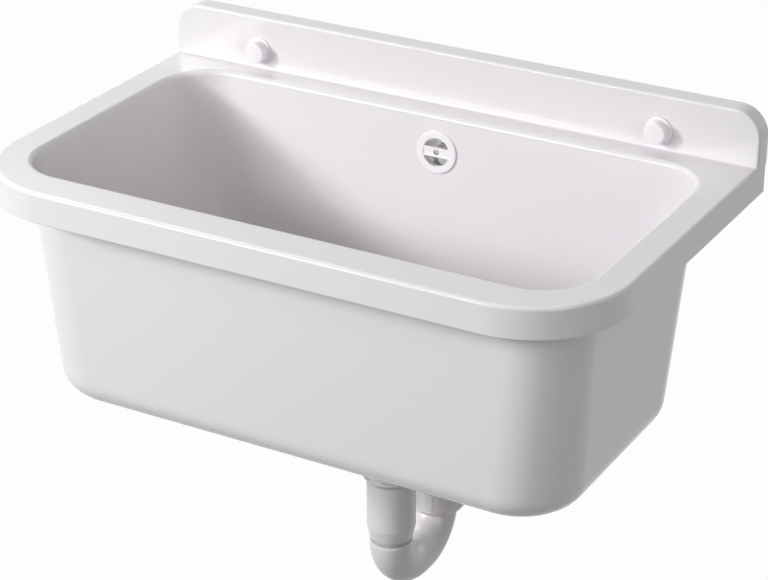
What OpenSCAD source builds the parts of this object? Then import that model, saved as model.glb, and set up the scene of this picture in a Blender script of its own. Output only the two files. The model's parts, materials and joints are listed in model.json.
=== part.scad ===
// Wall-hung utility sink, moulded in one piece in white plastic, with its wall screws
// and snap caps, its overflow and its tube trap. The origin lies in the wall plane,
// midway between the two wall screws: +X to the right, +Y into the wall, +Z up.

/* [Basin] */
// Overall width of the rim
basin_w = 550; // [520:1:600]
// Depth from the wall to the front of the rim
basin_d = 338; // [325:1:370]
// Height of the bowl from its flat base to the top of the rim
bowl_h = 206; // [190:1:225]
// Height of the downturned edge round the rim
skirt_h = 26; // [20:1:32]
// Wall thickness of the moulding
wall_t = 3.5; // [3:0.1:4]
// Floor thickness at the foot of the walls
floor_t = 4.5; // [4:0.1:6]
// How far the floor falls from the walls to the drain
floor_fall = 1.5; // [0.5:0.1:2]
// Radius of the two front corners of the rim
rim_corner_r = 82; // [70:1:90]
// Rounding along the top edge of the rim
rim_edge_r = 3; // [1:0.5:3.5]
// Rounding along the edge of the opening
opening_edge_r = 4; // [2:0.5:6]
// Width of the rim beside the opening, to the inner wall
ledge_side = 28.7; // [25:0.1:34]
// Width of the rim in front of the opening, to the inner wall
ledge_front = 36.3; // [32:0.1:42]
// Width of the ledge between the opening and the backsplash
ledge_back = 22.4; // [20:0.1:26]
// Corner radius of the inner walls at the rim
opening_corner_r = 45; // [38:1:52]
// How far the flat base's sides stand in from the rim's edge
base_side = 39.1; // [36:0.1:46]
// How far the flat base's front stands in from the rim's front
base_front = 42; // [40:0.1:50]
// How far the bowl's back stands off the wall at the base
base_back = 50.9; // [46:0.1:56]
// Corner radius of the bowl at the base
base_corner_r = 54.6; // [48:0.1:60]
// Rounding between the walls and the base
base_fillet = 21; // [16:0.5:26]
// Thickness of the stiffening webs
web_t = 2.5; // [2:0.1:3]
// Webs under the front of the rim
front_webs = 4; // [2:1:6]

/* [Backsplash] */
// Height of the backsplash above the rim
splash_h = 46.3; // [42:0.1:60]
// Thickness of the backsplash from the wall
splash_t = 17.7; // [16:0.1:20]
// Radius of its top corners
splash_corner_r = 24; // [16:1:28]
// Rounding along its front edge
splash_edge_r = 2; // [1:0.5:3]
// Distance of each wall screw from its end of the sink
screw_inset = 86; // [75:1:105]
// Height of the wall screws above the rim
screw_above_rim = 16.5; // [14:0.5:18]

/* [Wall fixings] */
// Diameter of the wall screws
screw_d = 8; // [6:0.5:8]
// Length of the wall screws under the head
screw_l = 75; // [65:1:90]
// Width across flats of the screw head
head_af = 13; // [11:0.5:13]
// Height of the screw head
head_h = 5.3; // [4:0.1:5.5]
// Diameter of the wall plugs
plug_d = 10; // [9:0.5:12]
// Length of the wall plugs
plug_l = 50; // [40:1:60]
// Diameter of the snap caps
cap_d = 18.5; // [18:0.1:21]
// Wall thickness of the snap caps
cap_t = 1.1; // [0.9:0.1:1.1]
// Diameter of the round bases that the caps snap on to
cap_base_d = 23; // [22:0.5:26]

/* [Overflow] */
// Depth of the overflow's centre below the rim
overflow_depth = 32.5; // [32:0.5:40]
// Diameter of the overflow rosette
rosette_d = 37.5; // [36:0.5:42]
// Thickness of the rosette in front of the wall
rosette_t = 1.8; // [1.6:0.1:3]
// Diameter of the rosette's opening
rosette_opening_d = 24.5; // [23:0.5:26]
// Width of the bridge across the opening
bridge_w = 8.5; // [8.5:0.1:10]
// Outside diameter of the overflow pipe
overflow_pipe_d = 22; // [20:0.5:22]
// Distance of the overflow pipe's centre from the wall
overflow_pipe_off = 20; // [19.5:0.1:20]
// Bend radius of the overflow pipe at its centre line
overflow_bend_r = 26; // [24:1:28]

/* [Drain] */
// Distance of the drain's centre from the wall
drain_y = 119.5; // [118:0.5:140]
// Diameter of the strainer's bowl, which a stopper plugs
stopper_d = 44; // [40:1:48]
// Width of the strainer's flange round its bowl
strainer_flange_w = 13; // [11:0.5:15]
// Play between the strainer's bowl and the hole in the floor
drain_hole_play = 2.5; // [2:0.1:4]
// Depth of the strainer's bowl
strainer_depth = 8; // [6:0.5:9]
// Slots in the strainer
strainer_slots = 8; // [6:1:10]

/* [Trap] */
// Outside diameter of the trap tube
tube_d = 38; // [36:0.5:38]
// Wall thickness of the trap tube
tube_t = 2.4; // [1.8:0.1:3]
// Distance between the centre lines of the bend's two legs
leg_spacing = 85; // [84:0.5:92]
// Radius of the bend's two quarter turns at the centre line
bend_r = 38.5; // [36:0.5:41]
// Drop from the bowl's flat base to where the bend's legs start to turn
bend_drop = 163; // [156:0.5:174]
// Outside diameter of the wide inlet tube
inlet_d = 43; // [42.5:0.1:43]
// Length of the inlet tube's tapered end
inlet_taper_l = 12; // [8:0.5:14]
// Drop from the bowl's flat base to the inlet nut's lower edge
inlet_nut_drop = 101.8; // [100:0.1:106]
// Outside diameter of the union nuts
nut_d = 50.4; // [50:0.1:54]
// Height of the union nuts
nut_h = 28; // [26:0.5:30]
// Ribs in each group of ribs on the union nuts
nut_ribs = 7; // [5:1:8]
// Radius of the outlet elbow at its centre line
elbow_r = 32; // [30:0.5:34]
// Drop from the bowl's flat base to the outlet's centre line
outlet_drop = 92; // [90:0.5:100]
// Length of the outlet spigot behind the wall plane
outlet_l = 45; // [30:1:60]

/* [Hidden] */

// Roundness of drawn circles, and steps in one quarter turn of a lofted edge
$fn = 64;
corner_steps = 10;
edge_steps = 4;
// Overrun of every cut, and the clearances of loose, running and pressed-in fits
cut = 1;
loose = 0.5;
gap = 0.3;
running = 0.05;

rim_z = -screw_above_rim;
screw_x = basin_w / 2 - screw_inset;
white = [0.93, 0.93, 0.93];
rubber = [0.25, 0.25, 0.27];
nylon = [0.6, 0.6, 0.62];
grey_rubber = [0.45, 0.45, 0.46];
steel = [0.72, 0.73, 0.75];
brass = [0.78, 0.62, 0.33];

// Shape helpers

// A rounded rectangle seen from above: half width, front, back, corner radii and height
function ring(hw, yf, yb, rf, rb, z) = [
    for (c = [[hw - rf, yf + rf, rf, -90], [hw - rb, yb - rb, rb, 0],
              [rb - hw, yb - rb, rb, 90], [rf - hw, yf + rf, rf, 180]])
        for (i = [0 : corner_steps])
            let (a = c[3] + 90 * i / corner_steps)
                [c[0] + c[2] * cos(a), c[1] + c[2] * sin(a), z]
];

// A circle with as many points as a ring has
function round_ring(y, r, z) = [
    for (i = [0 : 4 * corner_steps + 3])
        let (a = -90 + 360 * (i + 0.5) / (4 * corner_steps + 4))
            [r * cos(a), y + r * sin(a), z]
];

// A closed solid through rings that all have the same number of points
module skin(rings) {
    n = len(rings[0]);
    last = len(rings) - 1;
    sides = [
        for (k = [0 : last - 1])
            for (i = [0 : n - 1])
                let (a = k * n + i, b = k * n + (i + 1) % n, c = b + n, d = a + n)
                    each [[a, d, c], [a, c, b]]
    ];
    first_cap = [for (i = [0 : n - 1]) i];
    last_cap = [for (i = [0 : n - 1]) last * n + n - 1 - i];
    polyhedron([for (r = rings) each r], concat([first_cap, last_cap], sides), convexity = 8);
}

module tube(r_out, r_in, h) {
    difference() {
        cylinder(r = r_out, h = h);
        translate([0, 0, -cut]) cylinder(r = r_in, h = h + 2 * cut);
    }
}

// A quarter turn of round bar that starts at the origin going down and ends along +Y
module quarter_turn(r, bend) {
    translate([0, bend, 0])
        rotate([-90, 0, 0])
            rotate([0, 90, 0])
                rotate_extrude(angle = 90)
                    translate([bend, 0]) circle(r = r);
}

// Outline of a round nut of radius r, with groups of square ribs that stand out by h
function ribbed_outline(r, h, w, ribs, group_angle, groups, turn) =
    let (half = asin(w / 2 / r), rest = 360 / groups - group_angle - 2 * half)
        [for (group = [0 : groups - 1])
            let (first = turn + 360 * group / groups - group_angle / 2)
                each concat(
                    [for (i = [0 : ribs - 1])
                        let (a = first + group_angle * i / (ribs - 1))
                            each [polar(r - h, a - half), polar(r, a - half),
                                  polar(r, a + half), polar(r - h, a + half)]],
                    [for (share = [1 / 4, 1 / 2, 3 / 4])
                        polar(r - h, first + group_angle + half + rest * share)])
        ];

function polar(r, a) = [r * cos(a), r * sin(a)];

// The pieces along the wall screw on one side: local +Z points out of the wall
module at_screw(side) {
    translate([side * screw_x, 0, 0]) rotate([90, 0, 0]) children();
}

// Basin

// Insets of the bowl's outside at the rim, and of its inside at the base
out_side = ledge_side - wall_t;
out_front = ledge_front - wall_t;
out_back = ledge_back + splash_t - wall_t;
out_corner_r = opening_corner_r + wall_t;
in_fillet = base_fillet - wall_t;
under_z = rim_z - bowl_h;
floor_z = under_z + floor_t;
seat_z = floor_z - floor_fall;
seat_margin = 2;
strainer_r = stopper_d / 2 + strainer_flange_w;
seat_r = strainer_r + seat_margin;
well_t = 1.5;
well_r = stopper_d / 2 + well_t;
drain_hole_r = well_r + drain_hole_play;

function mix(a, b, s) = a + (b - a) * s;

// A ring of the bowl at a depth below the rim, grown inwards by a thickness
function bowl_ring(depth, grow) =
    let (s = depth / bowl_h,
         side = mix(out_side, base_side, s) + grow,
         front = mix(out_front, base_front, s) + grow,
         back = mix(out_back, base_back, s) + grow,
         r = mix(out_corner_r, base_corner_r, s) - grow)
        ring(basin_w / 2 - side, -basin_d + front, -back, r, r, rim_z - depth);

// A ring of the rim, whose back can stay in the wall plane
function rim_ring(inset, back_inset, depth) =
    ring(basin_w / 2 - inset, -basin_d + inset, -back_inset, rim_corner_r - inset,
         wall_t / 2, rim_z - depth);

function edge_angles() = [for (i = [0 : edge_steps]) 90 * i / edge_steps];

module bowl_and_rim() {
    outside_base = [for (a = edge_angles())
        bowl_ring(bowl_h - base_fillet * (1 - cos(a)), base_fillet * (1 - sin(a)))];
    rim_edge = [for (a = edge_angles())
        rim_ring(rim_edge_r * (1 - cos(a)), 0, rim_edge_r * (1 - sin(a)))];
    opening_edge = [for (a = edge_angles())
        bowl_ring(opening_edge_r * (1 - cos(a)), wall_t - opening_edge_r * (1 - sin(a)))];
    inside_base = [for (a = edge_angles())
        bowl_ring(bowl_h - floor_t - in_fillet * (1 - sin(a)), wall_t + in_fillet * (1 - cos(a)))];
    skin(concat(outside_base,
                [bowl_ring(wall_t, 0),
                 rim_ring(wall_t, wall_t, wall_t),
                 rim_ring(wall_t, wall_t, skirt_h),
                 rim_ring(0, 0, skirt_h)],
                rim_edge, opening_edge, inside_base,
                [round_ring(-drain_y, seat_r, seat_z)]));
}

// Outline of the backsplash as a ring: inset from its sides and top, and depth in front
function splash_ring(inset, off) =
    [for (p = ring(basin_w / 2 - inset, rim_z - wall_t, rim_z + splash_h - inset,
                   wall_t / 4, splash_corner_r - inset, 0))
        [p[0], -off, p[1]]];

module backsplash() {
    skin(concat([splash_ring(0, 0)],
                [for (a = edge_angles())
                    splash_ring(splash_edge_r * (1 - cos(a)), splash_t - splash_edge_r * (1 - sin(a)))]));
}

module splash_hollow() {
    hollow_r = splash_corner_r - wall_t;
    hollow_w = basin_w - 2 * wall_t;
    hollow_top = rim_z + splash_h - wall_t;
    translate([0, cut, 0])
        rotate([90, 0, 0])
            linear_extrude(splash_t - wall_t + cut) {
                translate([-hollow_w / 2, rim_z])
                    square([hollow_w, splash_h - wall_t - hollow_r]);
                translate([hollow_r - hollow_w / 2, rim_z])
                    square([hollow_w - 2 * hollow_r, splash_h - wall_t]);
                for (side = [-1, 1])
                    translate([side * (hollow_w / 2 - hollow_r), hollow_top - hollow_r])
                        circle(r = hollow_r);
            }
}

// Webs behind the backsplash, evenly spaced between its ends
splash_webs = 9;
web_inset = 23;
boss_r = 12;

module splash_stiffening() {
    web_depth = splash_t - wall_t / 2;
    last_web = basin_w / 2 - web_inset;
    for (i = [0 : splash_webs - 1])
        translate([last_web * (2 * i / (splash_webs - 1) - 1) - web_t / 2, -web_depth,
                   rim_z - wall_t / 2])
            cube([web_t, web_depth - wall_t, splash_h]);
    for (side = [-1, 1])
        at_screw(side) cylinder(r = boss_r, h = splash_t - wall_t / 2);
}

// Webs in the channel between the downturned edge and the bowl
web_h = skirt_h - 2 * wall_t;

module rim_webs() {
    for (i = [0 : front_webs - 1])
        translate([(i - (front_webs - 1) / 2) * basin_w / (front_webs + 2) - web_t / 2,
                   -basin_d + wall_t / 2, rim_z - web_h - wall_t / 2])
            cube([web_t, out_front, web_h]);
    for (side = [-1, 1])
        for (share = [1 / 3, 2 / 3])
            translate([side * (basin_w / 2 - wall_t / 2 - out_side / 2) - out_side / 2,
                       -basin_d * share, rim_z - web_h - wall_t / 2])
                cube([out_side, web_t, web_h]);
}

module basin() {
    color(white)
        difference() {
            union() {
                difference() {
                    union() {
                        bowl_and_rim();
                        backsplash();
                    }
                    splash_hollow();
                }
                splash_stiffening();
                rim_webs();
            }
            for (side = [-1, 1])
                at_screw(side)
                    translate([0, 0, -cut]) cylinder(d = screw_d + loose, h = splash_t + 2 * cut);
            at_overflow()
                translate([0, 0, -wall_t - cut]) cylinder(d = overflow_hole_d, h = wall_t + 2 * cut);
            translate([0, -drain_y, under_z - cut])
                cylinder(r = drain_hole_r, h = floor_t + 2 * cut);
        }
}

// Wall fixings: heights along the screw, measured from the wall plane

cap_flange_t = 1.8;
cap_boss_h = 1.4;
washer_t = 1;
washer_d = 15.6;
flange_z = splash_t + cap_flange_t;
boss_z = flange_z + cap_boss_h;
head_z = boss_z + washer_t;
cap_roof_z = head_z + head_h + gap;
cap_boss_d = cap_d - 2 * cap_t - 2 * running;
point_l = screw_d;
plug_slot_w = plug_d / 8;

module wall_plug(side) {
    color(nylon)
        at_screw(side)
            difference() {
                translate([0, 0, -plug_l]) cylinder(d = plug_d, h = plug_l);
                translate([0, 0, -plug_l - cut]) cylinder(d = screw_d + 2 * running, h = plug_l + 2 * cut);
                for (turn = [45, 135])
                    rotate(turn)
                        translate([-plug_d, -plug_slot_w / 2, -plug_l - cut])
                            cube([2 * plug_d, plug_slot_w, plug_l * 2 / 3]);
            }
}

module wall_screw(side) {
    color(steel)
        at_screw(side) {
            translate([0, 0, head_z]) cylinder(d = head_af / cos(30), h = head_h, $fn = 6);
            translate([0, 0, head_z - screw_l + point_l]) cylinder(d = screw_d, h = screw_l - point_l);
            translate([0, 0, head_z - screw_l]) cylinder(d1 = 0, d2 = screw_d, h = point_l);
        }
}

module screw_washer(side) {
    color(steel)
        at_screw(side)
            translate([0, 0, boss_z]) tube(washer_d / 2, (screw_d + loose) / 2, washer_t);
}

module cap_base(side) {
    color(white)
        at_screw(side)
            difference() {
                union() {
                    translate([0, 0, splash_t]) cylinder(d = cap_base_d, h = cap_flange_t);
                    translate([0, 0, flange_z]) cylinder(d = cap_boss_d, h = cap_boss_h);
                }
                translate([0, 0, splash_t - cut]) cylinder(d = screw_d + loose, h = boss_z);
            }
}

module screw_cap(side) {
    r = cap_d / 2;
    color(white)
        at_screw(side)
            difference() {
                rotate_extrude()
                    polygon(concat(
                        [[0, flange_z], [r, flange_z]],
                        [for (a = edge_angles()) [r - cap_t * (1 - cos(a)), cap_roof_z + cap_t * sin(a)]],
                        [[0, cap_roof_z + cap_t]]));
                translate([0, 0, flange_z - cut])
                    cylinder(r = r - cap_t, h = cap_roof_z - flange_z + cut);
            }
}

// Overflow: local +Z points out of the back wall into the bowl, and z = 0 is its surface

overflow_hole_d = 30;
overflow_flange_d = 40;
back_slope = atan((base_back - out_back) / bowl_h);
overflow_y = -mix(out_back, base_back, overflow_depth / bowl_h) - wall_t;
gasket_t = 2;
body_flange_t = 3;
body_flange_z = wall_t + gasket_t + body_flange_t;
cup_r = 18;
cup_t = 2.5;
cup_depth = 32;
post_r = 4.5;
post_front = 10;
insert_r = 2.5;
insert_l = 10;
overflow_screw_d = 3;
overflow_screw_l = 20;
overflow_head_d = 5;
overflow_head_h = 1.8;
bridge_front = 1.6;
bridge_back = 3.5;
bridge_groove = 0.6;
counterbore = 2.2;
overflow_head_z = bridge_front - counterbore - bridge_groove;
groove_share = 0.6;

module at_overflow() {
    translate([0, overflow_y, rim_z - overflow_depth]) rotate([90 - back_slope, 0, 0]) children();
}

module overflow_rosette() {
    r = rosette_d / 2;
    hole_r = rosette_opening_d / 2;
    collar_r = (overflow_hole_d - loose) / 2;
    bridge_t = bridge_front + bridge_back;
    groove_w = bridge_w * groove_share;
    color(white)
        at_overflow()
            difference() {
                union() {
                    rotate_extrude()
                        polygon(concat(
                            [[hole_r, -wall_t], [collar_r, -wall_t], [collar_r, 0], [r, 0]],
                            [for (a = [0 : 15 : 90])
                                [r - rosette_t / 2 * (1 - cos(a)), rosette_t / 2 * (1 + sin(a))]],
                            [[hole_r, rosette_t]]));
                    translate([-hole_r - loose, -bridge_w / 2, -bridge_back])
                        cube([2 * hole_r + 2 * loose, bridge_w, bridge_t]);
                }
                translate([-hole_r + loose, -groove_w / 2, bridge_front - bridge_groove])
                    cube([2 * hole_r - 2 * loose, groove_w, cut]);
                translate([0, 0, overflow_head_z])
                    cylinder(d = overflow_head_d + 2 * running, h = rosette_t + counterbore);
                translate([0, 0, -bridge_back - cut])
                    cylinder(d = overflow_screw_d + loose, h = rosette_t + bridge_t + cut);
            }
}

module overflow_screw() {
    color(steel)
        at_overflow()
            difference() {
                union() {
                    translate([0, 0, overflow_head_z]) cylinder(d = overflow_head_d, h = overflow_head_h);
                    translate([0, 0, overflow_head_z - overflow_screw_l])
                        cylinder(d = overflow_screw_d, h = overflow_screw_l);
                }
                for (turn = [0, 90])
                    rotate(turn)
                        translate([-overflow_head_d / 3, -overflow_head_d / 12,
                                   overflow_head_z + overflow_head_h / 2])
                            cube([overflow_head_d * 2 / 3, overflow_head_d / 6, overflow_head_h]);
            }
}

module overflow_gasket() {
    color(rubber)
        at_overflow()
            translate([0, 0, -wall_t - gasket_t])
                tube(overflow_flange_d / 2, (overflow_hole_d + loose) / 2, gasket_t);
}

// The compression joint at each end of the overflow pipe
socket_t = 3;
socket_r = overflow_pipe_d / 2 + socket_t;
socket_bore_r = overflow_pipe_d / 2 + running;
pipe_entry = 14;
pipe_t = 1.8;
seal_t = 3;
pipe_nut_r = 16.4;
pipe_nut_h = 20;
pipe_nut_shoulder = 3;
pipe_nut_ribs = 3;
pipe_rib_h = 0.8;
pipe_rib_w = 2.5;
pipe_rib_angle = 60;
socket_drop = 23.5;
socket_end_z = rim_z - overflow_depth - cup_r - socket_drop;
branch_drop = 23;
branch_l = 58;
branch_z = under_z - branch_drop;
branch_end_y = -drain_y + branch_l;

module overflow_body() {
    spigot_h = rim_z - overflow_depth - socket_end_z;
    color(nylon)
        difference() {
            union() {
                at_overflow() {
                    translate([0, 0, -body_flange_z]) cylinder(d = overflow_flange_d, h = body_flange_t);
                    translate([0, 0, -cup_depth]) cylinder(r = cup_r, h = cup_depth - body_flange_z);
                }
                translate([0, -overflow_pipe_off, socket_end_z]) cylinder(r = socket_r, h = spigot_h);
            }
            at_overflow()
                difference() {
                    translate([0, 0, cup_t - cup_depth]) cylinder(r = cup_r - cup_t, h = cup_depth);
                    translate([0, 0, -cup_depth]) cylinder(r = post_r, h = cup_depth - post_front);
                }
            translate([0, -overflow_pipe_off, socket_end_z - cut])
                cylinder(r = socket_bore_r, h = pipe_entry + cut);
            translate([0, -overflow_pipe_off, socket_end_z - cut])
                cylinder(r = overflow_pipe_d / 2 - pipe_t, h = spigot_h - post_r + cut);
            at_overflow()
                translate([0, 0, cup_t - cup_depth])
                    cylinder(r = insert_r + running, h = cup_depth);
        }
}

module overflow_insert() {
    color(brass)
        at_overflow()
            translate([0, 0, -post_front - insert_l])
                tube(insert_r, overflow_screw_d / 2 + running, insert_l);
}

// A seal and a nut round the overflow pipe: z = 0 is the end of the socket, going up
module pipe_seal() {
    color(rubber)
        translate([0, 0, -seal_t]) tube(socket_r - gap, overflow_pipe_d / 2 + running, seal_t);
}

module pipe_nut() {
    color(white)
        translate([0, 0, -seal_t - pipe_nut_shoulder])
            difference() {
                linear_extrude(pipe_nut_h)
                    polygon(ribbed_outline(pipe_nut_r, pipe_rib_h, pipe_rib_w, pipe_nut_ribs,
                                           pipe_rib_angle, 4, 0));
                translate([0, 0, -cut]) cylinder(r = overflow_pipe_d / 2 + gap, h = pipe_nut_h);
                translate([0, 0, pipe_nut_shoulder]) cylinder(r = socket_r + running, h = pipe_nut_h);
            }
}

module at_upper_joint() {
    translate([0, -overflow_pipe_off, socket_end_z]) children();
}

module at_lower_joint() {
    translate([0, branch_end_y, branch_z]) rotate([90, 0, 0]) children();
}

module overflow_upper_seal() {
    at_upper_joint() pipe_seal();
}

module overflow_upper_nut() {
    at_upper_joint() pipe_nut();
}

module overflow_lower_seal() {
    at_lower_joint() pipe_seal();
}

module overflow_lower_nut() {
    at_lower_joint() pipe_nut();
}

module overflow_pipe_path(r, extra) {
    top_z = socket_end_z + pipe_entry - gap + extra;
    low_z = branch_z + overflow_bend_r;
    front_y = branch_end_y - pipe_entry + gap - extra;
    back_y = -overflow_pipe_off - overflow_bend_r;
    translate([0, -overflow_pipe_off, low_z]) cylinder(r = r, h = top_z - low_z);
    translate([0, -overflow_pipe_off, low_z]) mirror([0, 1, 0]) quarter_turn(r, overflow_bend_r);
    translate([0, back_y, branch_z]) rotate([90, 0, 0]) cylinder(r = r, h = back_y - front_y);
}

module overflow_pipe() {
    color(white)
        difference() {
            overflow_pipe_path(overflow_pipe_d / 2, 0);
            overflow_pipe_path(overflow_pipe_d / 2 - pipe_t, cut);
        }
}

// Drain: heights are world heights, and everything is round the drain's axis

strainer_seal_t = 1.5;
flange_t = 2;
drain_seal_t = 2;
strainer_top = seat_z + strainer_seal_t + flange_t;
strainer_screw_d = 6;
strainer_screw_l = 28;
strainer_head_d = 12;
strainer_head_h = 2.2;
well_z = strainer_top - strainer_depth - well_t;
dimple_r = strainer_head_d / 2 + loose;
dimple_z = well_z - strainer_head_h - gap;
slot_w = 3.2;
cup_top_z = under_z - drain_seal_t;
cup_in_step = 1;
drain_t = 3;
cup_in_r = drain_hole_r + cup_in_step;
cup_out_r = cup_in_r + drain_t;
flange_r = cup_out_r + 2 * drain_t;
cup_h = 37;
cup_foot_z = cup_top_z - cup_h;
thread_r = 23.2;
cup_taper_h = 14;
thread_top_z = cup_foot_z - cup_taper_h;
arm_t = 3;
hub_r = 6;
hub_drop = 6;
hub_h = 22;
hub_top_z = cup_top_z - hub_drop;
drain_insert_r = 4;
drain_insert_l = 14;

module at_drain(z) {
    translate([0, -drain_y, z]) children();
}

module strainer() {
    throat_r = stopper_d / 2;
    color(steel)
        at_drain(0)
            difference() {
                rotate_extrude()
                    polygon([[0, dimple_z], [dimple_r, dimple_z], [dimple_r + well_t, well_z],
                             [well_r, well_z], [well_r, strainer_top - flange_t],
                             [strainer_r, strainer_top - flange_t],
                             [strainer_r, strainer_top - flange_t / 2],
                             [strainer_r - flange_t, strainer_top], [throat_r, strainer_top],
                             [throat_r, well_z + well_t], [dimple_r + well_t, well_z + well_t],
                             [dimple_r, dimple_z + well_t], [0, dimple_z + well_t]]);
                for (i = [0 : strainer_slots - 1])
                    rotate(360 * i / strainer_slots)
                        translate([dimple_r + 2 * well_t, -slot_w / 2, well_z - cut])
                            cube([throat_r - dimple_r - 3 * well_t, slot_w, well_t + 2 * cut]);
                translate([0, 0, dimple_z - cut])
                    cylinder(d = strainer_screw_d + loose, h = well_t + 2 * cut);
            }
}

module strainer_screw() {
    color(steel)
        at_drain(dimple_z + well_t)
            difference() {
                union() {
                    rotate_extrude()
                        polygon([[0, 0], [strainer_head_d / 2, 0],
                                 [strainer_head_d / 2 - strainer_head_h / 2, strainer_head_h],
                                 [0, strainer_head_h]]);
                    translate([0, 0, -strainer_screw_l]) cylinder(d = strainer_screw_d, h = strainer_screw_l);
                }
                translate([-strainer_head_d, -well_t / 2, strainer_head_h / 2])
                    cube([2 * strainer_head_d, well_t, strainer_head_h]);
            }
}

module strainer_seal() {
    color(rubber)
        at_drain(seat_z) tube(strainer_r - loose, well_r + gap, strainer_seal_t);
}

module drain_seal() {
    color(rubber)
        at_drain(cup_top_z) tube(flange_r, cup_in_r, drain_seal_t);
}

// The two round joints under the sink share these sizes
washer_h = 2.5;
collar_h = 4;
collar_r = thread_r - gap;
shoulder_h = 6;
inlet_nut_z = under_z - inlet_nut_drop;
inlet_collar_z = inlet_nut_z + shoulder_h;
tail_z = inlet_collar_z + collar_h + washer_h;
bore_r = tube_d / 2 - tube_t;

module drain_body() {
    color(white)
        difference() {
            union() {
                difference() {
                    union() {
                        at_drain(0)
                            rotate_extrude()
                                polygon([[0, cup_top_z], [flange_r, cup_top_z],
                                         [flange_r, cup_top_z - body_flange_t],
                                         [cup_out_r, cup_top_z - 2 * body_flange_t],
                                         [cup_out_r, cup_foot_z], [thread_r, thread_top_z],
                                         [thread_r, tail_z], [0, tail_z]]);
                        translate([0, branch_end_y, branch_z])
                            rotate([90, 0, 0]) cylinder(r = socket_r, h = branch_l);
                    }
                    at_drain(0)
                        rotate_extrude()
                            polygon([[0, cup_top_z + cut], [cup_in_r, cup_top_z + cut],
                                     [cup_in_r, cup_foot_z], [bore_r, thread_top_z],
                                     [bore_r, tail_z - cut], [0, tail_z - cut]]);
                    translate([0, branch_end_y + cut, branch_z])
                        rotate([90, 0, 0]) cylinder(r = socket_bore_r, h = pipe_entry + cut);
                    translate([0, branch_end_y + cut, branch_z])
                        rotate([90, 0, 0])
                            cylinder(r = overflow_pipe_d / 2 - pipe_t, h = branch_l + cut);
                }
                at_drain(hub_top_z - hub_h) {
                    cylinder(r = hub_r, h = hub_h);
                    for (turn = [90, 210, 330])
                        rotate(turn)
                            translate([0, -arm_t / 2, 0]) cube([cup_in_r + arm_t / 2, arm_t, hub_h * 2 / 3]);
                }
            }
            at_drain(hub_top_z - hub_h - cut) cylinder(r = drain_insert_r + running, h = hub_h + 2 * cut);
        }
}

module drain_insert() {
    color(brass)
        at_drain(hub_top_z - drain_insert_l)
            tube(drain_insert_r, strainer_screw_d / 2 + running, drain_insert_l);
}

// Trap: the near leg is under the drain, and the far leg stands towards the wall

far_y = -drain_y + leg_spacing;
bend_z = under_z - bend_drop;
bend_seal_h = 3.7;
inlet_end_z = bend_z + bend_seal_h + gap;
inlet_r = inlet_d / 2;
spigot_step = 0.4;
spigot_r = bore_r + spigot_step;
spigot_l = 21;
spigot_t = 2;
inlet_bore_r = inlet_r - tube_t;
nut_opening_r = 21.8;
rib_h = 0.6;
rib_w = 1.2;
rib_angle = 31;
rib_groups = 6;
panel_z = 5;
panel_h = 15.5;
nut_taper_h = 4;
inlet_nut_turn = -5;
outlet_nut_turn = 2;
far_collar_z = bend_z - collar_h;
far_nut_z = far_collar_z - shoulder_h;
elbow_end_z = bend_z + washer_h;
outlet_z = under_z - outlet_drop;

// A union nut that stands on z = 0: a tapered foot, then a band sunk between groups of ribs
module union_nut(turn) {
    r = nut_d / 2;
    color(white)
        difference() {
            rotate_extrude()
                polygon([[0, 0], [nut_opening_r + gap, 0], [r, nut_taper_h],
                         [r, nut_h - 2 * rib_h], [r - 2 * rib_h, nut_h], [0, nut_h]]);
            translate([0, 0, panel_z])
                linear_extrude(panel_h)
                    difference() {
                        circle(r = r + cut);
                        polygon(ribbed_outline(r + gap, rib_h + gap, rib_w, nut_ribs, rib_angle,
                                               rib_groups, turn));
                    }
            translate([0, 0, -cut]) cylinder(r = nut_opening_r, h = nut_h);
            translate([0, 0, shoulder_h]) cylinder(r = thread_r + running, h = nut_h);
        }
}

module inlet_washer() {
    color(rubber)
        at_drain(tail_z - washer_h) tube(collar_r, bore_r, washer_h);
}

module inlet_nut() {
    at_drain(inlet_nut_z) union_nut(inlet_nut_turn);
}

module inlet_tube() {
    taper_z = inlet_end_z + inlet_taper_l;
    socket_z = inlet_end_z + spigot_l - bend_seal_h;
    color(white)
        at_drain(0)
            difference() {
                rotate_extrude()
                    polygon([[0, inlet_end_z], [tube_d / 2, inlet_end_z], [inlet_r, taper_z],
                             [inlet_r, inlet_collar_z], [collar_r, inlet_collar_z],
                             [collar_r, inlet_collar_z + collar_h], [0, inlet_collar_z + collar_h]]);
                translate([0, 0, inlet_end_z - cut])
                    cylinder(r = spigot_r + running, h = inlet_collar_z - inlet_end_z);
                translate([0, 0, socket_z])
                    cylinder(r = inlet_bore_r, h = inlet_collar_z + collar_h - socket_z + cut);
            }
}

module bend_seal() {
    color(grey_rubber)
        at_drain(bend_z) tube(tube_d / 2 - 2 * gap, spigot_r + running, bend_seal_h);
}

// The bend's path as solid round bar: two quarter turns and a short level run between
module bend_path(r) {
    run = leg_spacing - 2 * bend_r;
    quarter_turn(r, bend_r);
    translate([0, bend_r, -bend_r]) rotate([-90, 0, 0]) cylinder(r = r, h = run);
    translate([0, leg_spacing, 0]) mirror([0, 1, 0]) quarter_turn(r, bend_r);
}

module trap_bend() {
    color(white)
        difference() {
            union() {
                at_drain(bend_z) bend_path(tube_d / 2);
                at_drain(bend_z) cylinder(r = spigot_r, h = spigot_l);
                translate([0, far_y, far_collar_z]) cylinder(r = collar_r, h = collar_h);
            }
            at_drain(bend_z) bend_path(bore_r);
            at_drain(bend_z - cut) cylinder(r = spigot_r - spigot_t, h = spigot_l + 2 * cut);
            translate([0, far_y, bend_z]) cylinder(r = bore_r, h = cut);
        }
}

module outlet_washer() {
    color(rubber)
        translate([0, far_y, bend_z]) tube(collar_r, bore_r, washer_h);
}

module outlet_nut() {
    translate([0, far_y, far_nut_z]) union_nut(outlet_nut_turn);
}

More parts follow.
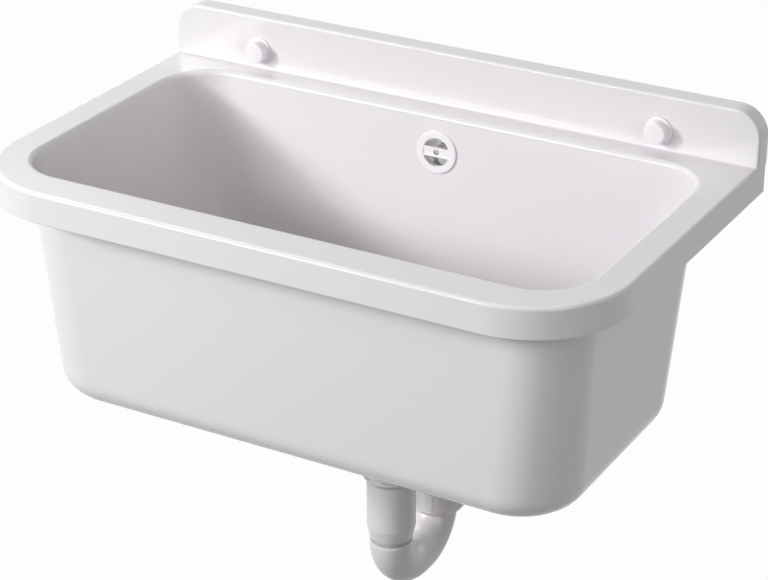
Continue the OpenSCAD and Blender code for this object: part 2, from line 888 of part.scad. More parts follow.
module elbow_path(r, extra) {
    leg = outlet_z - elbow_r - elbow_end_z;
    translate([0, 0, -extra]) cylinder(r = r, h = leg + extra);
    translate([0, 0, leg]) mirror([0, 0, 1]) quarter_turn(r, elbow_r);
    translate([0, elbow_r, leg + elbow_r])
        rotate([-90, 0, 0]) cylinder(r = r, h = outlet_l - far_y - elbow_r + extra);
}

module outlet_elbow() {
    thread_h = nut_h - shoulder_h - collar_h - washer_h + 2 * gap;
    color(white)
        translate([0, far_y, elbow_end_z])
            difference() {
                union() {
                    elbow_path(tube_d / 2, 0);
                    cylinder(r = thread_r, h = thread_h);
                }
                elbow_path(bore_r, cut);
            }
}

basin();
wall_plug(-1);  // wall_plug_left
wall_plug(1);  // wall_plug_right
wall_screw(-1);  // wall_screw_left
wall_screw(1);  // wall_screw_right
screw_washer(-1);  // screw_washer_left
screw_washer(1);  // screw_washer_right
cap_base(-1);  // cap_base_left
cap_base(1);  // cap_base_right
screw_cap(-1);  // screw_cap_left
screw_cap(1);  // screw_cap_right
overflow_rosette();
overflow_screw();
overflow_gasket();
overflow_body();
overflow_insert();
overflow_upper_seal();
overflow_upper_nut();
overflow_pipe();
overflow_lower_seal();
overflow_lower_nut();
strainer();
strainer_screw();
strainer_seal();
drain_seal();
drain_body();
drain_insert();
inlet_washer();
inlet_nut();
inlet_tube();
bend_seal();
trap_bend();
outlet_washer();
outlet_nut();
outlet_elbow();
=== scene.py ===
"""A wall-hung moulded sink with its screw caps, overflow rosette and tube trap.

Lengths are in metres: +X to the right along the wall, +Y into the wall, +Z up.
The origin lies in the wall plane, midway between the two wall screws.
"""

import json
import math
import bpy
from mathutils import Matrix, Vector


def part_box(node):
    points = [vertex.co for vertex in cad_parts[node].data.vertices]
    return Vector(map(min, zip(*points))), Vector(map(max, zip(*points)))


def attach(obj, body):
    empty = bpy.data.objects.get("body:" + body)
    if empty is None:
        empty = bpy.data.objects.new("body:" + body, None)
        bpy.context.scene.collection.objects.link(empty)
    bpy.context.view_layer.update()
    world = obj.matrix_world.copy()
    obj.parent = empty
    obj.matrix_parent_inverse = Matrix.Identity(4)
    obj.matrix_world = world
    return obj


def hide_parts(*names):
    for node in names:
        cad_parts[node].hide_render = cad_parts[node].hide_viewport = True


bl_info = {
    "name": "Moulded Utility Sink",
    "version": (1, 0, 0),
    "blender": (4, 5, 0),
    "location": "View3D > Sidebar > Sink",
    "description": "Builds a wall-hung moulded sink, its fixings, overflow and tube trap",
    "category": "Add Mesh",
}

import bmesh
import bpy
import numpy as np

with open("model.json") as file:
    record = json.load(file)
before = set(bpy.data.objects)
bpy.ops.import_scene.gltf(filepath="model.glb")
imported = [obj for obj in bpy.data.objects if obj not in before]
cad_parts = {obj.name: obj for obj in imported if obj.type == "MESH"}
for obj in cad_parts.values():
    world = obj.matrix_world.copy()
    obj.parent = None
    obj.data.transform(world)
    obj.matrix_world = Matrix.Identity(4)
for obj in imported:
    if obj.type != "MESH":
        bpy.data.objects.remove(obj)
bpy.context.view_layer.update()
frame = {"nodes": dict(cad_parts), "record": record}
SLOTS = {part["node"]: part["material_slot"] for part in frame["record"]["subparts"]}

MM = 0.001
SIDES = {"left": -1, "right": 1}
WHITE = (0.765, 0.7435, 0.765, 1.0)


# Sizes and finishes

def length(name, default_mm, description):
    """A length property whose default is given in millimetres."""
    return bpy.props.FloatProperty(
        name=name, description=description, default=default_mm * MM, min=0.0,
        unit="LENGTH", precision=4,
    )


def share(name, default, description):
    """A property from 0 to 1."""
    return bpy.props.FloatProperty(
        name=name, description=description, default=default, min=0.0, max=1.0,
        subtype="FACTOR",
    )


def tone(name, default, description):
    """A colour property."""
    return bpy.props.FloatVectorProperty(
        name=name, description=description, default=default, size=4, min=0.0, max=1.0,
        subtype="COLOR",
    )


class BasinSizes(bpy.types.PropertyGroup):
    """The moulding's sizes."""
    width: length("Width", 550, "Overall width of the rim")
    depth: length("Depth", 338, "From the wall to the front of the rim")
    rim_drop: length("Rim drop", 16.5, "Height of the wall screws above the rim")
    bowl_h: length("Bowl height", 206, "From the flat base to the top of the rim")
    skirt_h: length("Skirt height", 26, "Height of the downturned edge")
    wall: length("Wall", 3.5, "Wall thickness")
    floor: length("Floor", 4.5, "Floor thickness at the foot of the walls")
    floor_fall: length("Floor fall", 1.5, "How far the floor falls to the drain")
    rim_corner_r: length("Rim corner", 82, "Radius of the rim's front corners")
    rim_edge_r: length("Rim edge", 3, "Rounding along the rim's top edge")
    opening_edge_r: length("Opening edge", 4, "Rounding along the opening's edge")
    ledge_side: length("Side ledge", 28.7, "Rim width beside the opening")
    ledge_front: length("Front ledge", 36.3, "Rim width in front of the opening")
    ledge_back: length("Back ledge", 22.4, "From the opening to the backsplash")
    opening_corner_r: length("Opening corner", 45, "Corner radius of the opening")
    base_side: length("Base side", 39.1, "Inset of the flat base's sides")
    base_front: length("Base front", 42, "Inset of the flat base's front")
    base_back: length("Base back", 50.9, "Distance of the base's back from the wall")
    base_corner_r: length("Base corner", 54.6, "Corner radius at the base")
    base_fillet: length("Base fillet", 21, "Rounding between walls and base")
    skirt_edge_r: length("Skirt edge", 1.2, "Rounding along the skirt's lower edge")
    drain_y: length("Drain", 119.5, "Distance of the drain from the wall")
    drain_hole_r: length("Drain hole", 26, "Radius of the hole in the floor")
    seat_r: length("Seat", 37, "Radius of the flat seat round the drain")
    web: length("Web", 2.5, "Thickness of the stiffening webs")
    splash_h: length("Backsplash height", 46.3, "Height above the rim")
    splash_t: length("Backsplash depth", 17.7, "How far it stands off the wall")
    splash_corner_r: length("Backsplash corner", 24, "Radius of its top corners")
    splash_edge_r: length("Backsplash edge", 2, "Rounding along its front edge")
    foot_r: length("Foot fillet", 2.2, "Hollow rounding at the backsplash's foot")
    screw_spacing: length("Screw spacing", 378, "Distance between the wall screws")
    screw_hole_r: length("Screw hole", 4.25, "Radius of the screw holes")
    boss_r: length("Boss", 12, "Radius of the bosses behind the screws")
    overflow_depth: length("Overflow depth", 32.5, "Depth of the overflow below the rim")
    overflow_hole_r: length("Overflow hole", 15, "Radius of the hole in the back wall")


class FittingSizes(bpy.types.PropertyGroup):
    """Sizes of the caps, the overflow and the trap."""
    cap_r: length("Cap", 9.25, "Radius of the snap caps")
    cap_t: length("Cap wall", 1.1, "Wall thickness of the snap caps")
    cap_base_r: length("Cap base", 11.5, "Radius of the base behind each cap")
    cap_boss_r: length("Cap boss", 8.1, "Radius of the boss each cap grips")
    rosette_r: length("Rosette", 18.75, "Radius of the overflow rosette")
    rosette_t: length("Rosette thickness", 1.8, "How far it stands off the wall")
    rosette_hole_r: length("Rosette opening", 12.25, "Radius of its opening")
    rosette_collar_r: length("Rosette collar", 14.75, "Radius of the collar in the wall")
    cup_flange_r: length("Cup flange", 20, "Radius of the overflow cup's flange")
    screw_r: length("Screw", 4, "Radius of the wall screws")
    head_af: length("Head", 13, "Width across flats of the wall screws' heads")
    head_h: length("Head height", 5.3, "Height of the wall screws' heads")
    plug_r: length("Plug", 5, "Radius of the wall plugs")
    bridge_w: length("Bridge", 8.5, "Width of the bridge across the opening")
    bridge_front: length("Bridge front", 1.6, "Height of the bridge off the wall")
    bridge_back: length("Bridge back", 3.5, "Depth of the bridge behind the wall's face")
    groove_w: length("Groove", 5.1, "Width of the groove along the bridge")
    groove_d: length("Groove depth", 0.6, "Depth of the groove along the bridge")
    counterbore_r: length("Counterbore", 2.55, "Radius of the recess for the screw")
    counterbore_d: length("Counterbore depth", 2.2, "Depth of the recess under the groove")
    tube_r: length("Tube", 19, "Outside radius of the trap tube")
    bore_r: length("Bore", 16.6, "Inside radius of the trap tube")
    leg_spacing: length("Leg spacing", 85, "Between the bend's two legs")
    bend_r: length("Bend", 38.5, "Radius of the bend's quarter turns")
    elbow_r: length("Elbow", 32, "Radius of the outlet elbow")
    inlet_r: length("Inlet tube", 21.5, "Outside radius of the inlet tube")
    inlet_taper: length("Inlet taper", 12, "Length of the inlet tube's tapered end")
    collar_r: length("Collar", 22.9, "Radius of the collars in the nuts")
    collar_h: length("Collar height", 4, "Height of the collars in the nuts")
    thread_r: length("Thread", 23.2, "Outside radius of the threaded tails")
    nut_r: length("Nut", 25.2, "Outside radius of the union nuts over the ribs")
    nut_h: length("Nut height", 28, "Height of the union nuts")
    nut_taper: length("Nut taper", 4, "Height of a union nut's tapered foot")
    nut_shoulder: length("Nut shoulder", 6, "Height of a nut's shoulder")
    nut_opening_r: length("Nut opening", 21.8, "Radius of the hole in a nut's shoulder")
    panel_low: length("Panel foot", 5, "Height of the sunk band's lower edge")
    panel_high: length("Panel head", 20.5, "Height of the sunk band's upper edge")
    rib_h: length("Rib height", 0.6, "Depth of the sunk band between the ribs")
    pipe_r: length("Overflow pipe", 11, "Outside radius of the overflow pipe")
    pipe_t: length("Overflow pipe wall", 1.8, "Wall thickness of the overflow pipe")
    pipe_bend_r: length("Overflow pipe bend", 26, "Radius of the pipe's bend")


class SinkFinish(bpy.types.PropertyGroup):
    """Colours of the finishes."""
    moulding: tone("Moulding", WHITE, "The sink's white plastic")
    trim: tone("Trim", (0.85, 0.825, 0.85, 1.0), "Caps and rosette")
    pipe: tone("Pipe", (0.78, 0.755, 0.78, 1.0), "Trap and overflow pipe")
    nylon: tone("Nylon", (0.9, 0.895, 0.9, 1.0), "Wall plugs and the overflow cup")
    rubber: tone("Rubber", (0.035, 0.035, 0.038, 1.0), "Seals and washers")
    # The bend seal is a real rubber ring. Its mid-grey tone is partly painted shade, standing
    # in for the shadow in the recess between the inlet tube and the bend.
    seal: tone("Seal", (0.52, 0.507, 0.52, 1.0), "Grey seal between inlet tube and bend")
    steel: tone("Steel", (0.62, 0.63, 0.65, 1.0), "Strainer and small screws")
    zinc: tone("Zinc", (0.58, 0.6, 0.62, 1.0), "Wall screws and their washers")
    brass: tone("Brass", (0.72, 0.5, 0.22, 1.0), "Threaded inserts")


class StudioSettings(bpy.types.PropertyGroup):
    """Light, floor and camera."""
    floor_z: bpy.props.FloatProperty(
        name="Floor", description="Height of the floor", default=-0.78, unit="LENGTH")
    floor_size: length("Floor size", 30000, "Width of the floor")
    floor_tone: tone("Floor tone", (0.16, 0.16, 0.165, 1.0), "What the floor gives back")
    floor_white: share("Floor white", 0.98, "Share of plain white in the floor's look")
    ambient: share("Ambient", 0.0, "Light from all round")
    lamp_distance: length("Lamp distance", 2600, "From the lamps to the sink")
    key_radius: length("Key radius", 200, "Radius of each key lamp")
    fill_radius: length("Fill radius", 700, "Radius of each fill lamp")
    lamp_share: bpy.props.FloatProperty(
        name="Lamp share", description="Scales the power of all the lamps", default=1.0,
        min=0.0)
    lens: bpy.props.FloatProperty(
        name="Lens", description="Focal length in millimetres", default=113.5)


def values(name):
    """The property group of that name."""
    return getattr(bpy.context.scene, name)


def rim_height():
    """World height of the rim's top."""
    return -values("basin_sizes").rim_drop


# Mesh helpers

def mix(a, b, s):
    """The value at share s of the way from a to b."""
    return a + (b - a) * s


def quarter(n):
    """n + 1 angles from 0 to a quarter turn."""
    return np.linspace(0.0, math.pi / 2, n + 1)


def skin_faces(rings, points, loop, caps):
    """Quads between neighbouring rings. A loop joins the last ring to the first,
    and caps close both ends with one flat face each."""
    last = rings if loop else rings - 1
    k, i = np.meshgrid(np.arange(last), np.arange(points), indexing="ij")
    k_next = (k + 1) % rings
    i_next = (i + 1) % points
    quads = np.stack([k * points + i, k * points + i_next,
                      k_next * points + i_next, k_next * points + i], -1)
    faces = quads.reshape(-1, 4).tolist()
    if caps:
        faces.append(list(range(points))[::-1])
        faces.append(list(range((rings - 1) * points, rings * points)))
    return faces


def tidy_mesh(mesh, sharp_deg):
    """Merges doubles, turns the faces outwards and marks edges over sharp_deg sharp."""
    bm = bmesh.new()
    bm.from_mesh(mesh)
    bmesh.ops.remove_doubles(bm, verts=bm.verts, dist=1e-7)
    bmesh.ops.recalc_face_normals(bm, faces=bm.faces)
    bm.to_mesh(mesh)
    bm.free()
    smooth = np.ones(len(mesh.polygons), dtype=bool)
    mesh.polygons.foreach_set("use_smooth", smooth)
    mesh.set_sharp_from_angle(angle=math.radians(sharp_deg))
    mesh.update()


def surface(name, rings, loop=False, caps=False, sharp_deg=32.0):
    """An object whose skin runs through rings, an array (rings, points, 3)."""
    count, points = rings.shape[:2]
    mesh = bpy.data.meshes.new(name)
    faces = skin_faces(count, points, loop, caps)
    mesh.from_pydata(rings.reshape(-1, 3).tolist(), [], faces)
    tidy_mesh(mesh, sharp_deg)
    piece = bpy.data.objects.new(name, mesh)
    bpy.context.scene.collection.objects.link(piece)
    return piece


def evaluated(piece):
    """Applies the piece's modifiers to its mesh."""
    graph = bpy.context.evaluated_depsgraph_get()
    mesh = bpy.data.meshes.new_from_object(piece.evaluated_get(graph))
    piece.modifiers.clear()
    piece.data = mesh


def combine(piece, others, operation, sharp_deg=32.0):
    """Unites the piece with the others or cuts them from it, and removes them."""
    for other in others:
        modifier = piece.modifiers.new(other.name, "BOOLEAN")
        modifier.operation = operation
        modifier.solver = "EXACT"
        modifier.object = other
    evaluated(piece)
    for other in others:
        bpy.data.objects.remove(other)
    tidy_mesh(piece.data, sharp_deg)


def angles_round(steps):
    """Equal angles once round."""
    return np.arange(steps) / steps * 2 * math.pi


def rings_round(radius, height, turn):
    """Rings round Z: x = r cos t, y = r sin t, from radii (rings, points), heights
    (rings, 1) and angles."""
    return np.stack([radius * np.cos(turn), radius * np.sin(turn),
                     np.broadcast_to(height, radius.shape)], -1)


def lathe_rings(profile, steps, bump=0.0):
    """Rings of a profile (radius, height) turned round Z. bump, an array (rings, steps),
    is added to the radius."""
    radius = np.broadcast_to(profile[:, :1] + bump, (len(profile), steps))
    return rings_round(radius, profile[:, 1:], angles_round(steps))


def rounded(corners, steps=5):
    """A closed outline (n, 3) of points and corner radii, as points (m, 2) with each
    corner an arc: the arc touches both edges r tan(half the turn) from the corner."""
    points = []
    count = len(corners)
    for i in range(count):
        here = np.array(corners[i][:2], float)
        r = corners[i][2]
        before = np.array(corners[i - 1][:2], float) - here
        after = np.array(corners[(i + 1) % count][:2], float) - here
        a = before / np.linalg.norm(before)
        b = after / np.linalg.norm(after)
        inner = math.acos(float(np.clip(a @ b, -1.0, 1.0)))
        if r <= 0.0 or inner > math.pi - 0.02:
            points.append(here[None, :])
            continue
        reach = r / math.tan(inner / 2)
        middle = here + (a + b) / np.linalg.norm(a + b) * r / math.sin(inner / 2)
        start = here + a * reach - middle
        end = here + b * reach - middle
        sweep = math.pi - inner
        t = np.linspace(0.0, 1.0, steps + 1)[:, None]
        arc = (np.sin((1 - t) * sweep) * start + np.sin(t * sweep) * end) / math.sin(sweep)
        points.append(middle + arc)
    return np.concatenate(points)


def lathe(name, corners, steps=96, loop=False, corner_steps=5):
    """A turned piece whose outline has rounded corners."""
    return surface(name, lathe_rings(rounded(corners, corner_steps), steps), loop=loop)


def washer(name, bore, radius, low, high):
    """A flat ring along local Z with rounded edges."""
    edge = min(high - low, radius - bore) * 0.3
    corners = [(bore, low, edge), (radius, low, edge), (radius, high, edge),
               (bore, high, edge)]
    return lathe(name, corners, 80, loop=True, corner_steps=4)


def sweep_rings(path, radius, steps):
    """Rings of a round tube along a path in a plane x = constant. A ring's points are
    path + radius (cos t X + sin t N), where N is X crossed with the path's direction."""
    tangent = np.gradient(path, axis=0)
    tangent /= np.linalg.norm(tangent, axis=1, keepdims=True)
    side = np.array([1.0, 0.0, 0.0])
    normal = np.cross(side, tangent)
    turn = angles_round(steps)
    spoke = (np.cos(turn)[None, :, None] * side
             + np.sin(turn)[None, :, None] * normal[:, None, :])
    return path[:, None, :] + radius[:, None, None] * spoke


def pipe_rings(path, outer, inner, steps=72):
    """A tube's outside there and its bore back, as rings that close in a loop."""
    out = sweep_rings(path, outer, steps)
    back = sweep_rings(path, inner, steps)[::-1]
    return np.concatenate([out, back])


def arc_path(centre, radius, start_deg, end_deg, steps):
    """Points of an arc in the YZ plane: y = cy + r cos a, z = cz + r sin a."""
    a = np.radians(np.linspace(start_deg, end_deg, steps + 1))
    return np.stack([np.full_like(a, centre[0]), centre[1] + radius * np.cos(a),
                     centre[2] + radius * np.sin(a)], -1)


def placed(piece, matrix):
    """Moves the piece's mesh by a 4 by 4 matrix given as an array."""
    count = len(piece.data.vertices)
    co = np.empty(count * 3, np.float32)
    piece.data.vertices.foreach_get("co", co)
    co = co.reshape(-1, 3) @ matrix[:3, :3].T + matrix[:3, 3]
    piece.data.vertices.foreach_set("co", co.astype(np.float32).ravel())
    piece.data.update()
    return piece


def out_of_wall(x, y, z, lean=0.0):
    """Local Z points out of the wall, leaning up by lean, local X stays along the wall."""
    up = np.array([0.0, -math.cos(lean), math.sin(lean)])
    side = np.array([1.0, 0.0, 0.0])
    matrix = np.eye(4)
    matrix[:3, 0] = side
    matrix[:3, 1] = np.cross(up, side)
    matrix[:3, 2] = up
    matrix[:3, 3] = (x, y, z)
    return matrix


def moved_to(x, y, z):
    """A plain move to a place."""
    matrix = np.eye(4)
    matrix[:3, 3] = (x, y, z)
    return matrix


def join_body(piece, body, node):
    """Gives a finished piece its material and puts it on its body, in the node's place."""
    piece.data.materials.clear()
    piece.data.materials.append(finish(SLOTS[node]))
    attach(piece, body)
    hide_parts(node)


# Materials

def feed(tree, entry, value):
    """Links an input to a socket, or sets it to a plain value."""
    if isinstance(value, bpy.types.NodeSocket):
        tree.links.new(value, entry)
    else:
        entry.default_value = value


def noise_node(tree, vector, scale, detail, roughness=0.5):
    """The value of a noise, mostly between 0.3 and 0.7."""
    node = tree.nodes.new("ShaderNodeTexNoise")
    for label, value in (("Vector", vector), ("Scale", scale), ("Detail", detail),
                         ("Roughness", roughness)):
        feed(tree, node.inputs[label], value)
    return node.outputs["Fac"]


def spread_node(tree, noise, low, high):
    """Maps 0.3..0.7 of a noise to low..high."""
    node = tree.nodes.new("ShaderNodeMapRange")
    for label, value in (("Value", noise), ("From Min", 0.3), ("From Max", 0.7),
                         ("To Min", low), ("To Max", high)):
        feed(tree, node.inputs[label], value)
    return node.outputs["Result"]


def tint_node(tree, factor, colour_a, colour_b):
    """Mixes two colours by factor."""
    node = tree.nodes.new("ShaderNodeMix")
    node.data_type = "RGBA"
    for entry, value in ((0, factor), (6, colour_a), (7, colour_b)):
        feed(tree, node.inputs[entry], value)
    return node.outputs[2]


def finish_group(name, own_input, noises):
    """A node group that gives a finish's colour, roughness and bump height. noises makes
    the noise of each, and own_input is the socket (name, type, default) they add."""
    group = bpy.data.node_groups.get(name)
    if group is not None:
        return group
    group = bpy.data.node_groups.new(name, "ShaderNodeTree")
    for label, kind, default in (
            ("Colour", "NodeSocketColor", WHITE), ("Second colour", "NodeSocketColor", WHITE),
            ("Scale", "NodeSocketFloat", 120.0), ("Gloss low", "NodeSocketFloat", 0.2),
            ("Gloss high", "NodeSocketFloat", 0.36), own_input):
        socket = group.interface.new_socket(label, in_out="INPUT", socket_type=kind)
        socket.default_value = default
    for label, kind in (("Colour", "NodeSocketColor"), ("Roughness", "NodeSocketFloat"),
                        ("Height", "NodeSocketFloat")):
        group.interface.new_socket(label, in_out="OUTPUT", socket_type=kind)
    given = group.nodes.new("NodeGroupInput").outputs
    end = group.nodes.new("NodeGroupOutput").inputs
    where = group.nodes.new("ShaderNodeTexCoord").outputs["Object"]
    drift, mottle, height = noises(group, given, where)
    drift_share = spread_node(group, drift, 0.0, 1.0)
    feed(group, end["Colour"], tint_node(group, drift_share, given["Colour"],
                                         given["Second colour"]))
    feed(group, end["Roughness"], spread_node(group, mottle, given["Gloss low"],
                                              given["Gloss high"]))
    feed(group, end["Height"], height)
    return group


def moulded_noises(tree, given, where):
    """Slow drifts of tone, a finer mottle of gloss and a faint skin."""
    return (noise_node(tree, where, given["Scale"], 2.0), noise_node(tree, where, 60.0, 3.0),
            noise_node(tree, where, given["Skin scale"], 2.0))


def metal_noises(tree, given, where):
    """A slow stain, and fine streaks along one axis for both the gloss and the grain."""
    stretch = tree.nodes.new("ShaderNodeVectorMath")
    stretch.operation = "MULTIPLY"
    feed(tree, stretch.inputs[0], where)
    feed(tree, stretch.inputs[1], given["Streak"])
    streak = noise_node(tree, stretch.outputs[0], 1.0, 3.0, 0.6)
    return noise_node(tree, where, given["Scale"], 4.0), streak, streak


def moulded_group():
    """Moulded plastic and rubber."""
    return finish_group("Moulded skin", ("Skin scale", "NodeSocketFloat", 900.0),
                        moulded_noises)


def metal_group():
    """Worked metal."""
    return finish_group("Worked metal", ("Streak", "NodeSocketVector", (900.0, 60.0, 900.0)),
                        metal_noises)


# The finish of each slot: its material's name, its group, its colour's setting, the tone
# of the second colour, the group's other inputs, the shader's values and its bump
FINISHES = {
    "white_moulding": (
        "Gloss white moulding", moulded_group, "moulding", 0.99,
        {"Scale": 5.0, "Gloss low": 0.15, "Gloss high": 0.165, "Skin scale": 700.0},
        {"IOR": 1.5}, (0.02, 0.0001)),
    "white_trim": (
        "Gloss white trim", moulded_group, "trim", 0.99,
        {"Scale": 60.0, "Gloss low": 0.2, "Gloss high": 0.23, "Skin scale": 1500.0},
        {"IOR": 1.5}, (0.02, 0.0001)),
    "white_pipe": (
        "Satin white pipe", moulded_group, "pipe", 0.97,
        {"Scale": 35.0, "Gloss low": 0.3, "Gloss high": 0.4, "Skin scale": 1200.0},
        {"IOR": 1.49, "Subsurface Weight": 0.05, "Subsurface Scale": 0.004},
        (0.08, 0.0001)),
    "grey_nylon": (
        "Milky nylon", moulded_group, "nylon", 0.9,
        {"Scale": 90.0, "Gloss low": 0.45, "Gloss high": 0.6, "Skin scale": 1500.0},
        {"IOR": 1.53, "Transmission Weight": 0.75}, (0.2, 0.0001)),
    # The bend seal's grey rubber: its tone is partly painted shade for the recess between the
    # inlet tube and the bend.
    "grey_rubber": (
        "Grey rubber", moulded_group, "seal", 0.9,
        {"Scale": 120.0, "Gloss low": 0.5, "Gloss high": 0.65, "Skin scale": 2500.0},
        {"IOR": 1.5}, (0.25, 0.0001)),
    "black_rubber": (
        "Black rubber", moulded_group, "rubber", 1.4,
        {"Scale": 150.0, "Gloss low": 0.55, "Gloss high": 0.75, "Skin scale": 2500.0},
        {"IOR": 1.5}, (0.35, 0.0001)),
    "stainless": (
        "Brushed stainless", metal_group, "steel", 0.92,
        {"Streak": (2400.0, 90.0, 2400.0), "Gloss low": 0.2, "Gloss high": 0.34},
        {"Metallic": 1.0}, (0.12, 0.00005)),
    "zinc_steel": (
        "Zinc plate", metal_group, "zinc", 0.78,
        {"Streak": (700.0, 700.0, 700.0), "Gloss low": 0.28, "Gloss high": 0.45,
         "Scale": 320.0},
        {"Metallic": 1.0}, (0.15, 0.00005)),
    "brass": (
        "Turned brass", metal_group, "brass", 0.85,
        {"Streak": (200.0, 200.0, 3000.0), "Gloss low": 0.22, "Gloss high": 0.34},
        {"Metallic": 1.0}, (0.15, 0.00005)),
}


def finish(slot):
    """The slot's material: a Principled shader that takes its colour, roughness and
    bump from the slot's group."""
    name, group, setting, second_tone, inputs, shader_values, relief = FINISHES[slot]
    material = bpy.data.materials.get(name)
    if material is not None:
        return material
    colour = getattr(values("sink_finish"), setting)
    second = [channel * second_tone for channel in colour[:3]] + [1.0]
    material = bpy.data.materials.new(name)
    material.use_nodes = True
    tree = material.node_tree
    shader = tree.nodes["Principled BSDF"]
    node = tree.nodes.new("ShaderNodeGroup")
    node.node_tree = group()
    bump = tree.nodes.new("ShaderNodeBump")
    bump_values = {"Strength": relief[0], "Distance": relief[1]}
    for part, settings in ((node, {"Colour": colour, "Second colour": second}),
                           (node, inputs), (shader, shader_values), (bump, bump_values)):
        for label, value in settings.items():
            part.inputs[label].default_value = value
    tree.links.new(node.outputs["Colour"], shader.inputs["Base Color"])
    tree.links.new(node.outputs["Roughness"], shader.inputs["Roughness"])
    tree.links.new(node.outputs["Height"], bump.inputs["Height"])
    tree.links.new(bump.outputs["Normal"], shader.inputs["Normal"])
    return material


# Basin

BACK_WEBS = 9
FRONT_WEBS = 4
CORNER_STEPS = 20
EDGE_STEPS = 8
SIDE_SHARES = np.array([0.01, 0.05, 0.2, 0.5, 0.8, 0.95, 0.99])
WALL_SHARES = np.array([0.02, 0.25, 0.5, 0.75, 0.98])


def rounded_rings(half_w, front, back, front_r, back_r):
    """Outlines of rounded rectangles, one for each entry: quarter arcs of the given
    radii at the four corners, and a few points along each straight side. The result
    is (outlines, points, 2)."""
    half_w, front, back, front_r, back_r = np.broadcast_arrays(
        *np.atleast_1d(half_w, front, back, front_r, back_r))
    centre_x = np.stack([half_w - front_r, half_w - back_r, back_r - half_w,
                         front_r - half_w], -1)
    centre_y = np.stack([front + front_r, back - back_r, back - back_r,
                         front + front_r], -1)
    radius = np.stack([front_r, back_r, back_r, front_r], -1)
    turn = np.radians([-90.0, 0.0, 90.0, 180.0])[:, None] + quarter(CORNER_STEPS)
    x = centre_x[:, :, None] + radius[:, :, None] * np.cos(turn)
    y = centre_y[:, :, None] + radius[:, :, None] * np.sin(turn)
    arcs = np.stack([x, y], -1)
    ends = arcs[:, :, -1]
    starts = np.roll(arcs[:, :, 0], -1, axis=1)
    along = SIDE_SHARES[None, None, :, None]
    sides = ends[:, :, None] * (1 - along) + starts[:, :, None] * along
    return np.concatenate([arcs, sides], 2).reshape(len(half_w), -1, 2)


def edge_shares():
    """How far each point of a rounded edge has come: one way from 0 to 1, and the other
    way from 1 to 0."""
    a = quarter(EDGE_STEPS)
    return 1 - np.cos(a), 1 - np.sin(a)


def at_heights(outlines, heights):
    """Lays outlines (n, points, 2) flat at their heights."""
    heights = np.broadcast_to(np.reshape(heights, (-1, 1, 1)), outlines.shape[:2] + (1,))
    return np.concatenate([outlines, heights], -1)


def bowl_rings(depth, grow):
    """Rings of the bowl at depths below the rim, grown inwards by a thickness. The
    insets and the corner radius run straight from the rim to the base."""
    b = values("basin_sizes")
    depth, grow = np.broadcast_arrays(*np.atleast_1d(depth, grow))
    s = depth / b.bowl_h
    side = mix(b.ledge_side - b.wall, b.base_side, s) + grow
    front = mix(b.ledge_front - b.wall, b.base_front, s) + grow
    back = mix(b.ledge_back + b.splash_t - b.wall, b.base_back, s) + grow
    r = mix(b.opening_corner_r + b.wall, b.base_corner_r, s) - grow
    outlines = rounded_rings(b.width / 2 - side, -b.depth + front, -back, r, r)
    return at_heights(outlines, rim_height() - depth)


def rim_rings(inset, back_inset, depth):
    """Rings of the rim at depths below its top, inset from its edge."""
    b = values("basin_sizes")
    inset, back_inset, depth = np.broadcast_arrays(*np.atleast_1d(inset, back_inset, depth))
    outlines = rounded_rings(b.width / 2 - inset, -b.depth + inset, -back_inset,
                             b.rim_corner_r - inset, np.full_like(inset, b.wall / 2))
    return at_heights(outlines, rim_height() - depth)


def between(ring_a, ring_b, shares):
    """Rings on the straight way from one ring to another."""
    s = np.asarray(shares)[:, None, None]
    return ring_a[None] * (1 - s) + ring_b[None] * s


def drain_ring(radius, height, like):
    """A circle round the drain whose points face those of another ring."""
    b = values("basin_sizes")
    centre = np.array([0.0, -b.drain_y])
    spoke = like[:, :2] - centre
    spoke = spoke / np.linalg.norm(spoke, axis=1, keepdims=True)
    flat = centre + radius * spoke
    return at_heights(flat[None], height)[0]


def bowl_shell():
    """The bowl and its rim as one closed loop of rings: from the drain hole out under
    the base, up the outside, over the rim, down the inside and back to the hole."""
    b = values("basin_sizes")
    w = b.wall
    rise, fall = edge_shares()
    under = rim_height() - b.bowl_h
    seat = under + b.floor - b.floor_fall
    base = bowl_rings(b.bowl_h - b.base_fillet * rise, b.base_fillet * fall)
    root = 2 * MM
    walls_out = bowl_rings(mix(b.bowl_h - b.base_fillet, w + root, WALL_SHARES), 0.0)
    under_rim = bowl_rings(w + root * fall, -root * rise)
    e = b.skirt_edge_r
    skirt_in = rim_rings(w, w, mix(w, b.skirt_h - e, np.array([0.0, 0.05, 0.5, 0.95])))
    lip_in = rim_rings(w - e * rise, w - e * rise, b.skirt_h - e * fall)
    lip_out = rim_rings(e * fall, e * fall, b.skirt_h - e * rise)
    skirt_out = rim_rings(0.0, 0.0, mix(b.skirt_h - e, b.rim_edge_r,
                                        np.array([0.05, 0.5, 0.95])))
    rim_edge = rim_rings(b.rim_edge_r * rise, 0.0, b.rim_edge_r * fall)
    opening = bowl_rings(b.opening_edge_r * rise, w - b.opening_edge_r * fall)
    top = between(rim_edge[-1], opening[0], WALL_SHARES)
    fillet = b.base_fillet - w
    walls_in = bowl_rings(mix(b.opening_edge_r, b.bowl_h - b.floor - fillet, WALL_SHARES), w)
    inside = bowl_rings(b.bowl_h - b.floor - fillet * fall, w + fillet * rise)
    seat_ring = drain_ring(b.seat_r, seat, inside[-1])
    hole_top = drain_ring(b.drain_hole_r, seat, inside[-1])
    floor = between(inside[-1], seat_ring, [0.02, 0.2, 0.4, 0.6, 0.8, 0.98])
    hole_foot = drain_ring(b.drain_hole_r, under, inside[-1])
    flat_base = between(hole_foot, base[0], WALL_SHARES)
    return np.concatenate([hole_foot[None], flat_base, base, walls_out, under_rim,
                           skirt_in, lip_in, lip_out, skirt_out, rim_edge, top, opening,
                           walls_in, inside, floor, seat_ring[None], hole_top[None]])


